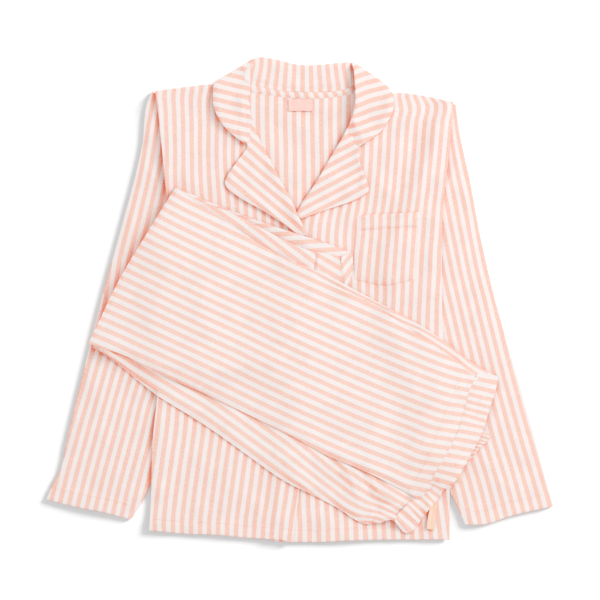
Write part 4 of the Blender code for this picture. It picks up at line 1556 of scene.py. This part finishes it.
# %% [markdown]
# ## The ends beneath and the lower leg
# The ends beneath go down first, so that everything above them rises by what they take. The upper
# leg's end shows beyond the lower leg, as a strip of its back layer and a hem beside its slit.

# %% The ends beneath and the lower leg
UPPER_INSET, LOWER_INSET = 6.0, 4.8         # mm that each knee is moved in, and how far its
UPPER_BULGE, LOWER_BULGE = 4.8, 3.2         # rounding then comes out again
under_outer = leg_layer(UPPER_LEG_END, UPPER_INSET, END_STEP, "", (60, 0.3), 41)
pressed_layer(under_outer)
HEM_BACK = drawn("""
    inside: 12 72, 10 26
    middle: 38 67, 38 18
    hem: 59.5 62, 64 40, 68 14
""")
HEM_FLAP = drawn("""
    slit: 59.8 63, 59.5 42, 63.5 14
    edge: 76 69.5, 77 44, 69.5 19
""")
lay("hem_back_cloth", HEM_BACK, (-31, "-3 -68.8 12.74, 30 -69.5 13.19"), step=2.4,
    creases="beside the lower leg: 3.5 1.9, 30 76, 29 66, 27 54, 25 42, 24 34",
    rumple=(40, 0.1), seed=45, material=trouser_cotton, nodes=[])
lay("hem_flap_cloth", HEM_FLAP, (54, "66 33.3 14.01, 91 32.6 11.28"), step=2.0,
    thick=0.8 * MM, rumple=(40, 0.1), seed=46, sewn=(("start", 0.3, 1.0), ("end", 0.6, 1.0)),
    taper=5.0, material=trouser_cotton, nodes=[])
under_outer[..., 2] += creased(
    under_outer[..., :2], "fold above the hem: 5 1.1, -160 158, -80 125, -24 96, 24 75, 66 70")
under_inner = leg_layer(LOWER_LEG_END, LOWER_INSET, END_STEP, "", (60, 0.3), 42)
pressed_layer(under_inner)
over_inner = leg_layer(LOWER_LEG, LOWER_INSET, LEG_STEP, CREASES_LOWER_LEG, (70, 0.4), 43)
fold_leg("leg_lower", under_inner, over_inner, LOWER_BULGE, STRIPES_LOWER_END, lower_leg_stripes,
         sewn=(("end",), ("right", 0.29, 0.9, 9.0, 0.5)))

# %% [markdown]
# ## Drawstring and waistband
# The waistband is a casing that a flat tape draws together, so the cloth stands in small gathers
# across it. The tape's two ends hang out below. It is modelled where it shows and left out inside
# the casing.

# %% Long tape end and lower casing
TAPE_LONG = drawn("""
    in the casing: 190 -286, 200 -288
    mouth: 187 -306, 197.5 -308
    middle: 184.5 -319, 196 -320
    end: 183 -332, 194.5 -334
""")
TAPE_SHORT = drawn("""
    in the casing: 226 -235, 235 -235
    middle: 225 -249, 235 -249
    end: 225 -265, 234 -265
""")
WAISTBAND_LOWER = drawn("""
    seam: 272 -104, 260 -140, 247 -188, 195 -267, 180 -276, 172.5 -287, 158 -293, 149.5 -301.5,
        141 -310.5, 137 -320.5
    edge: 288 -112, 281 -132, 270 -163, 264 -184, 275 -199, 262 -214, 229 -252, 207 -278,
        198 -291.5, 188.5 -302, 181 -312, 172.5 -324, 165.5 -333, 158.5 -337.8, 149 -336.5
""")
WAISTBAND_UPPER = drawn("""
    seam: 257 -106.5, 246 -130, 239 -157, 230 -186, 217 -214, 201 -241, 188 -266
    edge: 288.5 -112, 283 -132, 272 -168, 264 -193, 250 -220, 235 -246, 217 -276
""")
STRIPES_CASING_UPPER = across_a_band(
    (8.1, 20.8, 32.7, 43.2, 53.8, 62.7, 75.4, 88.0, 100.6, 113.4, 126.9, 142.0, 152.9, 166.3),
    (8.4, 22.0, 34.4, 45.5, 56.0, 67.0, 76.6, 87.3, 100.0, 113.4, 126.5, 139.7, 155.5, 169.1))
STRIPES_CASING_LOWER = across_a_band(
    (8, 20, 32, 44, 56, 68, 80, 88, 94, 100, 106, 112, 118, 126, 136, 147, 159, 171, 184, 195.3,
     204.3, 213.6, 227.5, 235.3, 249.0, 259.0, 276),
    (8, 20, 32, 44, 56, 68, 80, 91, 97, 103, 109, 115, 121, 129, 140, 153, 167, 181, 196, 209.2,
     220.1, 228.9, 239.4, 249.5, 259.4, 272.4, 292))
# Gathers: place along the casing, half width and height, in mm.
GATHERS_UPPER = """
    12 6 0.2, 33 6.5 0.3, 52 5.5 0.2, 72 6 0.35, 95 6.5 0.3, 118 6 0.35, 134 5 0.4, 151 5 0.3"""
GATHERS_LOWER = """
    20 5 0.6, 60 6 0.6, 88 3 1.2, 100 2.6 1.5, 108 2.6 1.3, 118 3 1.2, 146 4.5 0.8, 168 4 0.9,
    186 3.6 0.6, 203 4.2 0.7, 214 3.6 0.7, 224 3.2 1, 235 3.6 0.7, 246 3.2 0.9, 262 4.2 2"""
GATHER_EDGE = 0.45          # what is left of a gather at the casing's seam and edge


def gathered(gathers):
    """A shaping function that raises gathers across a casing, each at its own place."""
    def shape(middle):
        along = distances(middle[middle.shape[0] // 2, :, :2]) / MM
        wave = sum(height * np.exp(-((along - place) / width) ** 2)
                   for place, width, height in numbers(gathers)) * MM
        down = np.linspace(0, 1, middle.shape[0])[:, None]
        middle[..., 2] += wave[None] * (GATHER_EDGE + (1 - GATHER_EDGE) * np.sin(math.pi * down))
    return shape


lay("drawstring_long", TAPE_LONG, (70, "-400 0 10, 0 0 10"), step=2.0,
    thick=1.0 * MM, rumple=(20, 0.2), seed=51, material=tape_cotton,
    creases="turned up side: 3 2.4, 189 -292, 186.5 -308, 184.5 -320, 183 -336")
lay("waistband_lower", WAISTBAND_LOWER, STRIPES_CASING_LOWER, step=2.4, thick=1.5 * MM,
    shape=gathered(GATHERS_LOWER), rumple=(30, 0.15), seed=52, sewn=(("start",),), taper=20.0,
    level=9.0, material=trouser_cotton,
    seams=[inset(WAISTBAND_LOWER[0][1:], 1.5)])

# %% [markdown]
# ## Upper leg
# It is laid last of the big pieces, over the lower leg and its casing. A seam joins it to its own
# casing, and its lower side thins out where it sinks into the cloth beneath.

# %% Upper leg
over_outer = leg_layer(UPPER_LEG, UPPER_INSET, LEG_STEP, CREASES_UPPER_LEG, (75, 0.4), 44)
fold_leg("leg_upper", under_outer, over_outer, UPPER_BULGE, STRIPES_UPPER_END,
         lambda plan: stripe_count(plan, *STRIPES_UPPER_LEG),
         seams=[((233, -112), (217, -148), (206, -175), (184, -232), (167, -262))],
         sewn=(("end",), ("right", 0.986, 1.0, 8.0), ("right", 0.36, 0.945, 9.0, 0.42)))

# %% [markdown]
# ## Upper casing
# The same band as the lower one, seen from its other end, with softer gathers. The short end of the
# tape comes out below it.

# %% Short tape end and upper casing
lay("drawstring_short", TAPE_SHORT, (80, "-400 0 10, 0 0 10"), step=2.0,
    thick=0.8 * MM, rumple=(20, 0.2), seed=53, sewn=(("end",),), taper=9.0,
    material=tape_cotton)
lay("waistband_upper", WAISTBAND_UPPER, STRIPES_CASING_UPPER, step=2.4, thick=1.6 * MM,
    passes=40, shape=gathered(GATHERS_UPPER), rumple=(30, 0.15), seed=54,
    sewn=(("start",), ("left", 0, 1, 8.0), ("right", 0, 1, 14.0)), taper=24.0, level=9.0,
    material=trouser_cotton)

# %% [markdown]
# ## The low window's shadow
# The shirt's own edges give the soft shadow on the surface. The trousers are taken out of it,
# because they lie so high that their shadow would reach past the shirt.

# %% The low window's shadow
trousers = [piece for piece in bpy.data.objects
            if piece.name.startswith(("leg_", "waistband_", "drawstring_", "hem_"))]
window.light_linking.blocker_collection = only_for("the_trousers", trousers, "EXCLUDE")
print("left out of the low window's shadow:", len(trousers))
